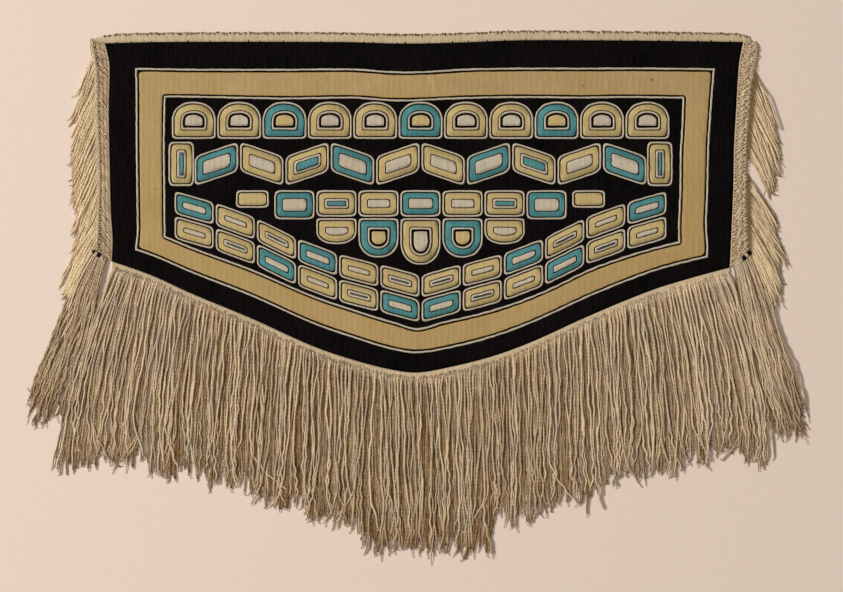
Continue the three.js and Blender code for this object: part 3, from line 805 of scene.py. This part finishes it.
# %% [markdown]
# ## The braided sides
# Down each side runs a strip of natural yarn worked in columns of slanting stitches, with a thin cord along
# the panel and, on the left, a thick pale one along the outside. One stitch is a short arched yarn, so a
# column is one array of them, each a little out of step as handwork is.

# %% Side lines that the braids, fringes, ties and tassels share
LEFT_BRAID = np.array([(0, 0.033), (0.1, 0.038), (0.3, 0.033), (0.7, 0.031), (1, 0.043)])  # share, width
RIGHT_BRAID = np.array([  # share, width
    (0, 0.030), (0.02, 0.037), (0.05, 0.040), (0.1, 0.041), (0.25, 0.033), (0.7, 0.032), (1, 0.041)])
SIDES = {
    "left": {"side": -1, "edge": LEFT_EDGE, "width": LEFT_BRAID, "top": -0.010, "foot": 0.463},
    "right": {"side": 1, "edge": RIGHT_EDGE, "width": RIGHT_BRAID, "top": -0.003, "foot": 0.466}}
BRAID_LENGTH = 0.475


def side_inner(which, share):
    """The seam between a braid and the panel."""
    at = SIDES[which]
    x, down = panel_place(np.full_like(share, at["side"] > 0), share)
    return x + at["side"] * SEAM, down


def side_outer(which, share, beyond=0.0):
    """The outer edge of a braid, or a line beyond it."""
    at = SIDES[which]
    down = mix(at["top"], at["foot"], share)
    return curve(at["edge"], down) + at["side"] * (curve(at["width"], share) + beyond), down


def side_place(which, across, share):
    """A place on the braid: a share of the way out from the panel, at a share of the way down."""
    near, far = side_inner(which, share), side_outer(which, share)
    return mix(near[0], far[0], across), mix(near[1], far[1], across)


# %% Braids of slanting stitches between two cords
BRAID_ROWS = {"left": 80, "right": 98}
BRAID_COLUMNS = {  # from, to, run down the braid
    "left": ((0.05, 0.34, -0.0095), (0.32, 0.61, -0.0095), (0.60, 0.74, 0.0060)),
    "right": ((0.06, 0.37, 0.0060), (0.34, 0.67, -0.0060), (0.64, 0.97, 0.0060))}
STITCH_THICKNESS = {"left": 0.0015, "right": 0.0014}
STITCH_LEVEL, STITCH_RISE = 0.0038, {"left": 0.0019, "right": 0.0020}
UNEVEN = {"left": 1.0, "right": 2.4}  # how far the stitches stray from their places
BRAID_CORDS = {  # middle, swing, ply, turn, level
    "left": ((0.045, 0.028, 0.0012, 0.010, 0.0042), (0.845, 0.070, 0.0024, 0.026, 0.0044)),
    "right": ((0.045, 0.028, 0.0012, 0.010, 0.0042),)}


def braid_stitches(which):
    """Centre lines of the stitches: each crosses its column at a slant, rising and sinking as an arch."""
    s = np.linspace(0, 1, 6)[None, :]
    rows, stray = BRAID_ROWS[which], UNEVEN[which]
    paths = []
    for start, stop, run in BRAID_COLUMNS[which]:
        middle = (np.arange(rows) + 0.5) / rows + seed.normal(0, 0.0017 * stray, rows)
        slope = run / BRAID_LENGTH * (1 + seed.uniform(-0.3, 0.3, (rows, 1)) * stray)
        share = np.clip(middle[:, None] + slope * (s - 0.5), 0, 1)
        across = np.clip(mix(start, stop, s) + seed.normal(0, 0.014 * stray, (rows, 1)), 0.02, 0.99)
        x, down = side_place(which, across, share)
        arch = STITCH_LEVEL + STITCH_RISE[which] * np.sin(np.pi * s)
        paths.append(to_frame(x, down, arch + seed.normal(0, 0.0005, (rows, 1))))
    return np.concatenate(paths)


def cord_paths(which, middle, swing, turn, level):
    """Two plies wound about each other down the braid."""
    share = np.linspace(0.0, 1.0, int(7 * BRAID_LENGTH / turn))
    angle = share * BRAID_LENGTH / turn * 2 * np.pi
    paths = []
    for phase in (0, np.pi):
        x, down = side_place(which, middle + swing * np.cos(angle + phase), share)
        paths.append(to_frame(x, down, level + 0.0012 * np.sin(angle + phase)))
    return np.array(paths)


# the darker left ground shows between the stitches as painted shade
BRAID_GROUND = {"left": braid_gap_shade_wool, "right": strip_wool}
BRAID_TONE = {"left": (0.54, 0.90), "right": (0.76, 1.10)}  # darkest and palest stitch
BACK_LEVEL, BACK_ROUNDING = 0.0032, 0.0016
for which in SIDES:
    stitches = braid_stitches(which)
    thickness = STITCH_THICKNESS[which] * seed.uniform(0.8, 1.2, (len(stitches), 1))
    groups = [(stitches, thickness, seed.uniform(*BRAID_TONE[which], (len(stitches), 1)), 0.0, 6)]
    for middle, swing, ply, turn, level in BRAID_CORDS[which]:
        groups.append((cord_paths(which, middle, swing, turn, level), ply, 0.75, 0.0, 6))
    share, across = np.meshgrid(np.linspace(0, 1, 60), np.linspace(0, 1, 6), indexing="ij")
    back_x, back_down = side_place(which, across, share)
    back_z = BACK_LEVEL - BACK_ROUNDING * np.abs(2 * across - 1) ** 3
    backing = pad(to_frame(back_x, back_down, back_z), to_frame(back_x, back_down, 0.0))
    add_piece(f"side_{which}_backing", *backing, BRAID_GROUND[which], NATURAL)
    yarn_piece(f"side_{which}_stitches", groups, plait_yarn, NATURAL, [f"side_braid_{which}"])

# %% [markdown]
# ## The fringes
# A fringe is hundreds of loose yarns that fall into locks: neighbours lean together, cross a little and
# part again. Hair particles could grow them, but plain arrays give every yarn a root, a tip, a few slow
# waves and the quick crimp of spun wool. Three layers lie on one another: a dark under layer, a middle one,
# and pale loose yarns on top whose shadows fall between them. The lower a layer lies, the darker its yarns
# are painted, as painted shade between the yarns above. Each tip frays into thin fibres.

# %% How yarn lies
CRIMP_PITCH = 0.038
THICKEST = 1.24  # of a yarn's usual radius, so that none lies under the ground


def ring_shares(rings):
    """How far along its yarn each ring is: t (1.4 - 0.4 t), so that the rings lie closer towards the tip."""
    t = np.linspace(0, 1, rings)[None, :]
    return t * (1.4 - 0.4 * t)


def slow_waves(count, s, size, turns):
    """Sideways wander of many yarns: three sine waves of random phase that grow from root to tip."""
    total = 0.0
    for k, share in enumerate((1.0, 0.55, 0.3)):
        phase = seed.uniform(0, 2 * np.pi, (count, 1))
        rate = turns * (k + 1) * seed.uniform(0.7, 1.3, (count, 1))
        total = total + share * np.sin(phase + 2 * np.pi * rate * s) - share * np.sin(phase)
    return size * total * np.clip(s * 3, 0, 1)


def crimp(count, s, length, size):
    """Quick small bends along yarns of one length, in bursts that fade and come back."""
    phase = seed.uniform(0, 2 * np.pi, (count, 1))
    rate = length / CRIMP_PITCH * seed.uniform(0.7, 1.25, (count, 1))
    burst = 0.55 + 0.45 * np.sin(2 * np.pi * seed.uniform(0.8, 2.2, (count, 1)) * s + 3 * phase)
    bends = np.sin(2 * np.pi * rate * s + phase + 1.3 * np.sin(9 * s + phase))
    return size * burst * bends * np.clip(s * 8, 0.0, 0.35 + 1.15 * s * s)


def lie(level, s, radius, root_level=0.0030, slope=0.06):
    """Height along yarns: up from their roots to their layer's level, and sinking again towards the tips."""
    rise = np.clip(s / slope, 0, 1)
    sink = 1 - 0.5 * np.clip((s - 0.7) / 0.3, 0, 1) ** 2
    z = mix(root_level, level, rise * rise * (3 - 2 * rise)) * sink
    return np.maximum(z + 0.0005 * slow_waves(len(z), s, 1.0, 2.0), THICKEST * radius)


def browning(s, start, strength):
    """How far a yarn has browned: none above start, then rising to its tip."""
    return np.clip((s - start) / (1 - start), 0, 1) ** 2 * strength


def yarn_radii(count, s, radius):
    """A yarn's radius: its own thickness, uneven along it, thinning just before its tip."""
    uneven = 1 + 0.10 * np.sin(seed.uniform(20, 45, (count, 1)) * s + seed.uniform(0, 6, (count, 1)))
    thinning = 1 - 0.2 * np.clip((s - 0.94) / 0.06, 0, 1)
    return radius * seed.uniform(0.84, 1.12, (count, 1)) * uneven * thinning


def tip_bend(count, s, size, start=0.74):
    """A sideways turn of each yarn's last part, as loose ends have, three times as far on a few strays."""
    stray = np.where(seed.uniform(0, 1, (count, 1)) > 0.86, 3.2, 1.0)
    return seed.normal(0, size, (count, 1)) * stray * np.clip((s - start) / (1 - start), 0, 1) ** 1.6


FRAY_RINGS = 4


def frayed(paths, each, length, radius, tip=0.4):
    """Thin fibres that spread from the last point of every yarn, as a group for yarn_piece."""
    tips = np.repeat(paths[:, -1], each, axis=0)
    run = np.repeat(paths[:, -1] - paths[:, -3], each, axis=0)
    run = run / np.linalg.norm(run, axis=1, keepdims=True)
    run = run + seed.normal(0, 0.26, run.shape) * (1, 1, 0)
    t = np.linspace(0, 1, FRAY_RINGS)[None, :, None]
    reach = length * seed.uniform(0.4, 1.2, (len(tips), 1, 1))
    curl = seed.normal(0, 0.004, (len(tips), 1, 3)) * (1, 1, 0) * t ** 2
    fibres = tips[:, None] + run[:, None] * reach * (t - 0.12) + curl
    fibres[..., 2] = np.maximum(fibres[..., 2] * (1 - 0.4 * t[..., 0]), radius)
    return fibres, radius * (1 - 0.5 * t[..., 0]), seed.uniform(0.4, 1.0, (len(tips), 1)), tip, 4


# %% Fringe along the foot
FOOT_FRINGE = np.array([  # root x, drift of the tip, fall
    (-0.684, -0.119, 0.460), (-0.655, -0.093, 0.448), (-0.620, -0.068, 0.426), (-0.580, -0.054, 0.412),
    (-0.480, -0.032, 0.392), (-0.367, -0.020, 0.368), (-0.265, -0.014, 0.380), (-0.142, -0.007, 0.374),
    (-0.104, -0.002, 0.410), (0.0, 0.009, 0.392), (0.083, 0.007, 0.414), (0.142, 0.005, 0.428),
    (0.168, 0.004, 0.366), (0.240, 0.003, 0.386), (0.300, 0.005, 0.388), (0.345, 0.009, 0.372),
    (0.362, 0.010, 0.414), (0.382, 0.011, 0.410), (0.398, 0.014, 0.374), (0.455, 0.026, 0.388),
    (0.522, 0.038, 0.402), (0.600, 0.056, 0.396), (0.646, 0.070, 0.396), (0.672, 0.084, 0.428),
    (0.697, 0.104, 0.440)])
YARN_RADIUS = 0.0021
# Yarns, radius, level, lean, wander, crimp, most shortened, rings, sides, darkest and palest tone. The lower
# layers have darker tones, as painted shade.
FRINGE_LAYERS = (
    (520, 0.0029, 0.0026, 0.003, 0.0010, 0.0008, 0.26, 22, 4, 0.0, 0.27),
    (440, 0.0020, 0.0050, 0.007, 0.0022, 0.0014, 0.12, 36, 4, 0.20, 0.74),
    (196, 0.0022, 0.0080, 0.010, 0.0026, 0.0018, 0.10, 50, 6, 0.50, 0.97))
LOCKS = 92
root_low, root_high = FOOT_EDGE[0, 0] + 0.003, FOOT_EDGE[-1, 0] - 0.003
root_line = np.linspace(root_low, root_high, 300)
crowding = np.cumsum(1 + np.abs(np.gradient(lines(FOOT_FRINGE, root_line), root_line)))
root_share = (crowding - crowding[0]) / (crowding[-1] - crowding[0])
lock_even = mix(root_low, root_high, (np.arange(LOCKS) + 0.5) / LOCKS)
lock_middle = np.sort(lock_even + seed.normal(0, 0.003, LOCKS))
lock_draw, lock_lean = seed.uniform(0.2, 0.8, LOCKS), seed.normal(0, 0.005, LOCKS)
lock_short = seed.uniform(-0.02, 0.05, LOCKS)


def foot_yarns(count, radius, level, lean, wander, bend, shortest, rings):
    """Centre lines of one layer of yarns that hang from the footing, drawn together into the shared locks."""
    s = ring_shares(rings)
    roots = np.interp((np.arange(count) + seed.uniform(0.1, 0.9, count)) / count, root_share, root_line)
    lock = np.abs(roots[:, None] - lock_middle).argmin(axis=1)
    length = 1 - lock_short[lock] - seed.uniform(0, shortest, count)
    fall, drift = lines(FOOT_FRINGE, roots, 2) * length, lines(FOOT_FRINGE, roots, 1) * length
    pull = ((lock_middle[lock] - roots) * lock_draw[lock] + lock_lean[lock]) * min(level / 0.0055, 1) ** 2
    kick = seed.normal(0, 0.0030, (count, 1)) * np.sin(np.pi * np.clip(s / 0.18, 0, 1))
    sway = drift[:, None] * (1 - (1 - s) ** 1.7) + pull[:, None] * s ** 2
    sway = sway + seed.normal(0, lean, (count, 1)) * s + kick
    x = roots[:, None] + sway + slow_waves(count, s, wander, 1.3) + crimp(count, s, 0.39, bend)
    x = x + tip_bend(count, s, lean)
    start = curve(FOOT_EDGE, roots) + FOOTING_DEPTH - seed.uniform(0.000, 0.009, count)
    down = start[:, None] + (fall[:, None] + 0.004) * s
    return to_frame(x, down, lie(level * seed.uniform(0.85, 1.1, (count, 1)), s, radius)), roots


FRINGE_TONE = np.array([(-0.6, 0.09), (-0.2, 0.02), (0.2, 0.03), (0.6, 0.17)])  # root x, how much paler
PALE_ROOT, ROOT_LENGTH = 0.45, 0.02  # paler tone just under the footing
FRINGE_CUTS = (-np.inf, -0.33, 0.0, 0.33, np.inf)
fringe_groups = [[] for _ in FRINGE_CUTS[1:]]
for count, radius, level, lean, wander, bend, shortest, rings, sides, dark_tone, pale_tone in FRINGE_LAYERS:
    paths, roots = foot_yarns(count, radius, level, lean, wander, bend, shortest, rings)
    s = ring_shares(rings)
    radii = yarn_radii(count, s, radius)
    # each layer's tone range is darker the lower it lies: painted shade between the yarns above
    tone = seed.uniform(dark_tone, pale_tone, (count, 1)) + lines(FRINGE_TONE, roots)[:, None]
    tone = tone + PALE_ROOT * np.exp(-s / ROOT_LENGTH)
    browned = 0.18 + 0.66 * np.exp(-((roots - 0.03) / 0.17) ** 2)
    tip = browning(s, 0.80, (browned * seed.uniform(0.1, 1.15, count))[:, None])
    for part, (low, high) in enumerate(zip(FRINGE_CUTS[:-1], FRINGE_CUTS[1:])):
        chosen = (roots >= low) & (roots < high)
        fringe_groups[part].append((paths[chosen], radii[chosen], tone[chosen], tip[chosen], sides))
        fringe_groups[part].append(frayed(paths[chosen], 1, 0.012, 0.0012))
for part, groups in enumerate(fringe_groups):
    yarn_piece(f"foot_fringe_{part + 1}", groups, fringe_yarn, FRINGE, ["bottom_fringe"])

# %% Fringes off the side braids
SIDE_FRINGES = {  # down the braid, reach, fall
    "left": np.array([
        (0.022, 0.030, 0.084), (0.045, 0.044, 0.112), (0.110, 0.054, 0.132), (0.320, 0.053, 0.138),
        (0.370, 0.058, 0.142), (0.384, 0.064, 0.150), (0.405, 0.080, 0.164), (0.425, 0.070, 0.150),
        (0.460, 0.064, 0.138)]),
    "right": np.array([
        (0.066, 0.049, 0.140), (0.120, 0.055, 0.158), (0.200, 0.052, 0.132), (0.256, 0.049, 0.102),
        (0.290, 0.062, 0.128), (0.350, 0.066, 0.132), (0.420, 0.070, 0.138), (0.445, 0.062, 0.142),
        (0.464, 0.050, 0.138)])}
SIDE_LOCKS = {  # from, to, yarns, how far drawn together
    "left": ((0.022, 0.130, 44, 0.15), (0.130, 0.250, 46, 0.20), (0.250, 0.372, 46, 0.20),
             (0.380, 0.414, 18, 0.35), (0.414, 0.463, 28, 0.15)),
    "right": ((0.064, 0.140, 36, 0.30), (0.140, 0.256, 44, 0.25), (0.294, 0.318, 12, 0.30),
              (0.326, 0.392, 34, 0.35), (0.394, 0.464, 40, 0.15))}
SIDE_RINGS, SIDE_RADIUS, SIDE_LEVELS = 26, 0.0019, (0.0022, 0.0068)
OVER_TASSEL, OVER_FROM, OVER_RUN = 0.0040, 0.39, 0.04  # lift over the tassel, from where and in what run
STRAY_FROM = 0.94  # only yarns that draw more than this reach farther
SIDE_STRAY = {"left": 0.08, "right": 0.22}  # how much farther a few yarns reach
# lower side yarns are painted darker than higher ones: painted shade
SIDE_TONE_AND_SHADE = {"left": (0.55, 0.34), "right": (0.20, 0.68)}  # of the lowest yarn, and more for the highest
SIDE_ROOTS = {"left": (-0.0085, 0.0056), "right": (-0.0015, 0.0019)}  # beyond the braid's edge, and level
# painted shadow of the braid over the roots of the side yarns
BRAID_SHADOW_ON_ROOTS = {"left": (0.9, 0.0, 0.22), "right": (-0.4, 0.08, 0.20)}  # root's paleness, shaded to, full from


def side_yarns(which):
    """Centre lines of yarns that leave a braid's outer edge, slant down and lie over the ones below them."""
    at, table = SIDES[which], SIDE_FRINGES[which]
    start, pull = [], []
    for low, high, count, draw in SIDE_LOCKS[which]:
        places = mix(low, high, (np.arange(count) + seed.uniform(0.2, 0.8, count)) / count)
        start.append(places)
        pull.append((places.mean() - places) * draw)
    start, pull = np.concatenate(start), np.concatenate(pull)
    count = len(start)
    share = np.clip((start - at["top"]) / (at["foot"] - at["top"]), 0, 1)
    beyond, root_level = SIDE_ROOTS[which]
    root_x, root_down = side_outer(which, share, beyond)
    spread = 1 + seed.normal(0, 0.06, count)
    spread = spread + SIDE_STRAY[which] * (seed.uniform(0, 1, count) > STRAY_FROM)
    reach = lines(table, start, 1) * spread
    fall = lines(table, start, 2) * (1 + seed.uniform(-0.22, 0.08, count)) + pull
    s = ring_shares(SIDE_RINGS)
    slant = reach[:, None] * (1.2 * s - 0.2 * s ** 2)
    sway = slow_waves(count, s, 0.0014, 0.8) + crimp(count, s, 0.13, 0.0007)
    x = root_x[:, None] + at["side"] * (slant + sway) + tip_bend(count, s, 0.0011)
    down = root_down[:, None] + fall[:, None] * s
    lifted = OVER_TASSEL * np.clip((start[:, None] - OVER_FROM) / OVER_RUN, 0, 1)
    level = seed.uniform(*SIDE_LEVELS, (count, 1)) + lifted
    return to_frame(x, down, lie(level, s, SIDE_RADIUS, root_level, 0.25)), level


def loose_piece(name, paths, radius, tone, browned, fray, material, node):
    """A piece of loose yarns: each of its own thickness, browned towards the tip and frayed at its end."""
    s = ring_shares(paths.shape[1])
    yarns = (paths, yarn_radii(len(paths), s, radius), tone, browning(s, *browned), 6)
    yarn_piece(name, [yarns, frayed(paths, *fray)], material, FRINGE, [node])


for which in SIDES:
    paths, level = side_yarns(which)
    s = ring_shares(SIDE_RINGS)
    low_tone, paler = SIDE_TONE_AND_SHADE[which]
    # tone rises with a yarn's height, so lower yarns are darker: painted shade
    height = np.minimum((level - SIDE_LEVELS[0]) / (SIDE_LEVELS[1] - SIDE_LEVELS[0]), 1)
    tone = low_tone + paler * height + seed.uniform(0.0, 0.3, level.shape)
    root_share, shaded, full = BRAID_SHADOW_ON_ROOTS[which]
    # the braid's painted shadow darkens each yarn's root
    tone = tone * mix(root_share, 1, np.clip((s - shaded) / (full - shaded), 0, 1))
    loose_piece(f"side_{which}_yarns", paths, SIDE_RADIUS, tone, (0.8, 0.4), (1, 0.014, 0.0009, 0.15),
                side_yarn, f"side_fringe_{which}")

# %% [markdown]
# ## Corner ties and tassels
# At each lower corner the braid's ends are bound with black and natural yarn and then hang free as a
# tassel. A tie is a few turns of yarn round the bundle, and the tassel's yarns fan out from it until they
# meet the foot's fringe.

# %% Ties and tassels
ROOT_SPAN = {"left": (0.30, 1.04), "right": (0.22, 1.03)}
TASSELS = {  # outer and inner tip: x, down
    "left": ((-0.872, 0.852), (-0.784, 0.830)),
    "right": ((0.866, 0.872), (0.792, 0.876))}
TASSEL_BOW = 1.04  # over 1, the yarns spread more near the tie than near the tips
TASSEL_TONE = {"left": -0.03, "right": 0.11}
TIE_BLOCKS = {"left": (0.64, 0.92), "right": (0.66, 0.92)}
TASSEL_YARNS, TASSEL_RINGS, TASSEL_LEVELS = 78, 40, (0.0021, 0.0085)
TIE_TURNS, BLACK_WIDTH, BLACK_RADIUS, PALE_RADIUS = 3, 0.17, 0.0018, 0.0014
TURN_POINTS = 18
TURN_AWAY, TURN_LEVEL = (0.0058, 0.0042), (0.0056, 0.0036)  # middle of a turn, and how far it swings


def along_foot(which, share, away):
    """A place on the slanting foot of a braid, a share of the way out, and so far beyond it."""
    at = SIDES[which]
    one = np.array(1.0)
    start, stop = np.array(side_inner(which, one)), np.array(side_outer(which, one))
    run = stop - start
    out = np.array([-run[1], run[0]]) * at["side"] / np.hypot(*run)
    return start[0] + run[0] * share + out[0] * away, start[1] + run[1] * share + out[1] * away


def tassel_yarns(which):
    """Centre lines from the tie to tips spread between the outer and the inner corner of the tassel."""
    (outer_x, outer_down), (inner_x, inner_down) = TASSELS[which]
    share = (np.arange(TASSEL_YARNS) + 0.5) / TASSEL_YARNS
    root_x, root_down = along_foot(which, mix(*ROOT_SPAN[which], share), -0.003)
    fan = np.clip(share + seed.normal(0, 0.12, TASSEL_YARNS), -0.04, 1.03)
    length = 1 - seed.uniform(-0.03, 0.21, TASSEL_YARNS)
    tip_x, tip_down = mix(inner_x, outer_x, fan), mix(inner_down, outer_down, fan)
    s = ring_shares(TASSEL_RINGS)
    reach = length[:, None] * s
    sway = slow_waves(TASSEL_YARNS, s, 0.0042, 1.2) + crimp(TASSEL_YARNS, s, 0.37, 0.0018)
    x = root_x[:, None] + (tip_x - root_x)[:, None] * (1 - (1 - s) ** TASSEL_BOW) + sway
    x = x + tip_bend(TASSEL_YARNS, s, 0.006)
    down = root_down[:, None] + (tip_down - root_down)[:, None] * reach
    level = seed.uniform(*TASSEL_LEVELS, (TASSEL_YARNS, 1))
    return to_frame(x, down, lie(level, s, YARN_RADIUS)), level


def tie_turns(which, middle, turns, width):
    """Turns of yarn wound round the bundle's foot at a share of the way out: a flat helix over it."""
    t = np.linspace(0, 1, TURN_POINTS * turns)
    angle = 2 * np.pi * turns * t
    away = TURN_AWAY[0] + TURN_AWAY[1] * np.cos(angle)
    x, down = along_foot(which, middle + width * (t - 0.5), away)
    return to_frame(x, down, TURN_LEVEL[0] + TURN_LEVEL[1] * np.sin(angle))[None]


for which in SIDES:
    paths, level = tassel_yarns(which)
    height = (level - TASSEL_LEVELS[0]) / (TASSEL_LEVELS[1] - TASSEL_LEVELS[0])
    # lower tassel yarns are painted darker than higher ones: painted shade
    tone = height * 0.8 + seed.uniform(-0.2, 0.2, level.shape) + TASSEL_TONE[which]
    loose_piece(f"corner_{which}_tassel_yarns", paths, YARN_RADIUS, np.maximum(tone, 0.10), (0.7, 0.3),
                (2, 0.018, 0.0010), fringe_yarn, f"corner_tassel_{which}")
    black = [(tie_turns(which, middle, TIE_TURNS, BLACK_WIDTH), BLACK_RADIUS, 0.4, 0.0, 6)
             for middle in TIE_BLOCKS[which]]
    pale_places = ((np.mean(TIE_BLOCKS[which]), 0.12), (0.46, 0.14))  # middle, width
    pale = [(tie_turns(which, middle, TIE_TURNS, width), PALE_RADIUS, 0.8, 0.0, 6)
            for middle, width in pale_places]
    yarn_piece(f"corner_{which}_tie_black", black, tie_black, TIE, [f"corner_tie_{which}"])
    yarn_piece(f"corner_{which}_tie_natural", pale, plait_yarn, TIE)

# %% [markdown]
# ## One frame for every piece
# The panel is one sheet of cloth. Every piece above is tied with it to the same frame, so its heading, lines,
# figures and fringes stay with it.

# %% [markdown]
# ## Studio
# The blanket lies on a plain pale ground, lit by one broad soft light from the left and a weak light all
# round, so that shadows fall to the right. The camera looks straight down with a long lens.

# %% Floor, lights and camera
FLOOR_SIZE, FLOOR_DROP = 12.0, 0.0004
floor_mesh = bpy.data.meshes.new("ground_plane")
half = FLOOR_SIZE / 2
floor_corners = [(-half, -half, 0), (half, -half, 0), (half, half, 0), (-half, half, 0)]
floor_mesh.from_pydata(floor_corners, [], [(0, 1, 2, 3)])
floor = bpy.data.objects.new("ground_plane", floor_mesh)
floor.location.z = -FLOOR_DROP
bpy.context.scene.collection.objects.link(floor)
floor_material, net, shader = start_material("pale ground", 0.9)
grain = net.node("ShaderNodeTexCoord", output="Object").noise(60.0, 4.0)
finish_material(net, shader, grain.between(dye(226, 205, 188), dye(232, 210, 193)), grain, 0.0001)
floor_mesh.materials.append(floor_material)


def area_light(name, place, target, size, power):
    """A square soft light at a place, turned to face a target."""
    light = bpy.data.lights.new(name, "AREA")
    light.size, light.energy = size, power
    lamp = bpy.data.objects.new(name, light)
    lamp.location = place
    lamp.rotation_euler = (Vector(target) - Vector(place)).to_track_quat("-Z", "Y").to_euler()
    bpy.context.scene.collection.objects.link(lamp)


MIDDLE = (0.0, 0.0, 0.0)
area_light("key", (-11.2, 2.4, 8.8), MIDDLE, 2.7, 2080.0)
area_light("fill", (0.6, -0.4, 6.0), MIDDLE, 3.0, 60.0)
world = bpy.data.worlds.new("studio")
world.use_nodes = True
background = world.node_tree.nodes["Background"]
background.inputs["Color"].default_value = (1.0, 0.97, 0.94, 1.0)
background.inputs["Strength"].default_value = 0.20
bpy.context.scene.world = world
bpy.context.scene.view_settings.view_transform = "Standard"

FRAME_WIDTH = 1.897
LENS, SENSOR = 85.0, 36.0
AIM = (0.0133, -0.0005)
camera_data = bpy.data.cameras.new("camera")
camera_data.lens, camera_data.sensor_width = LENS, SENSOR
camera = bpy.data.objects.new("camera", camera_data)
camera.location = (*AIM, FRAME_WIDTH * LENS / SENSOR)
bpy.context.scene.collection.objects.link(camera)
bpy.context.scene.camera = camera
print(f"camera {camera.location.z:.2f} m above the blanket")
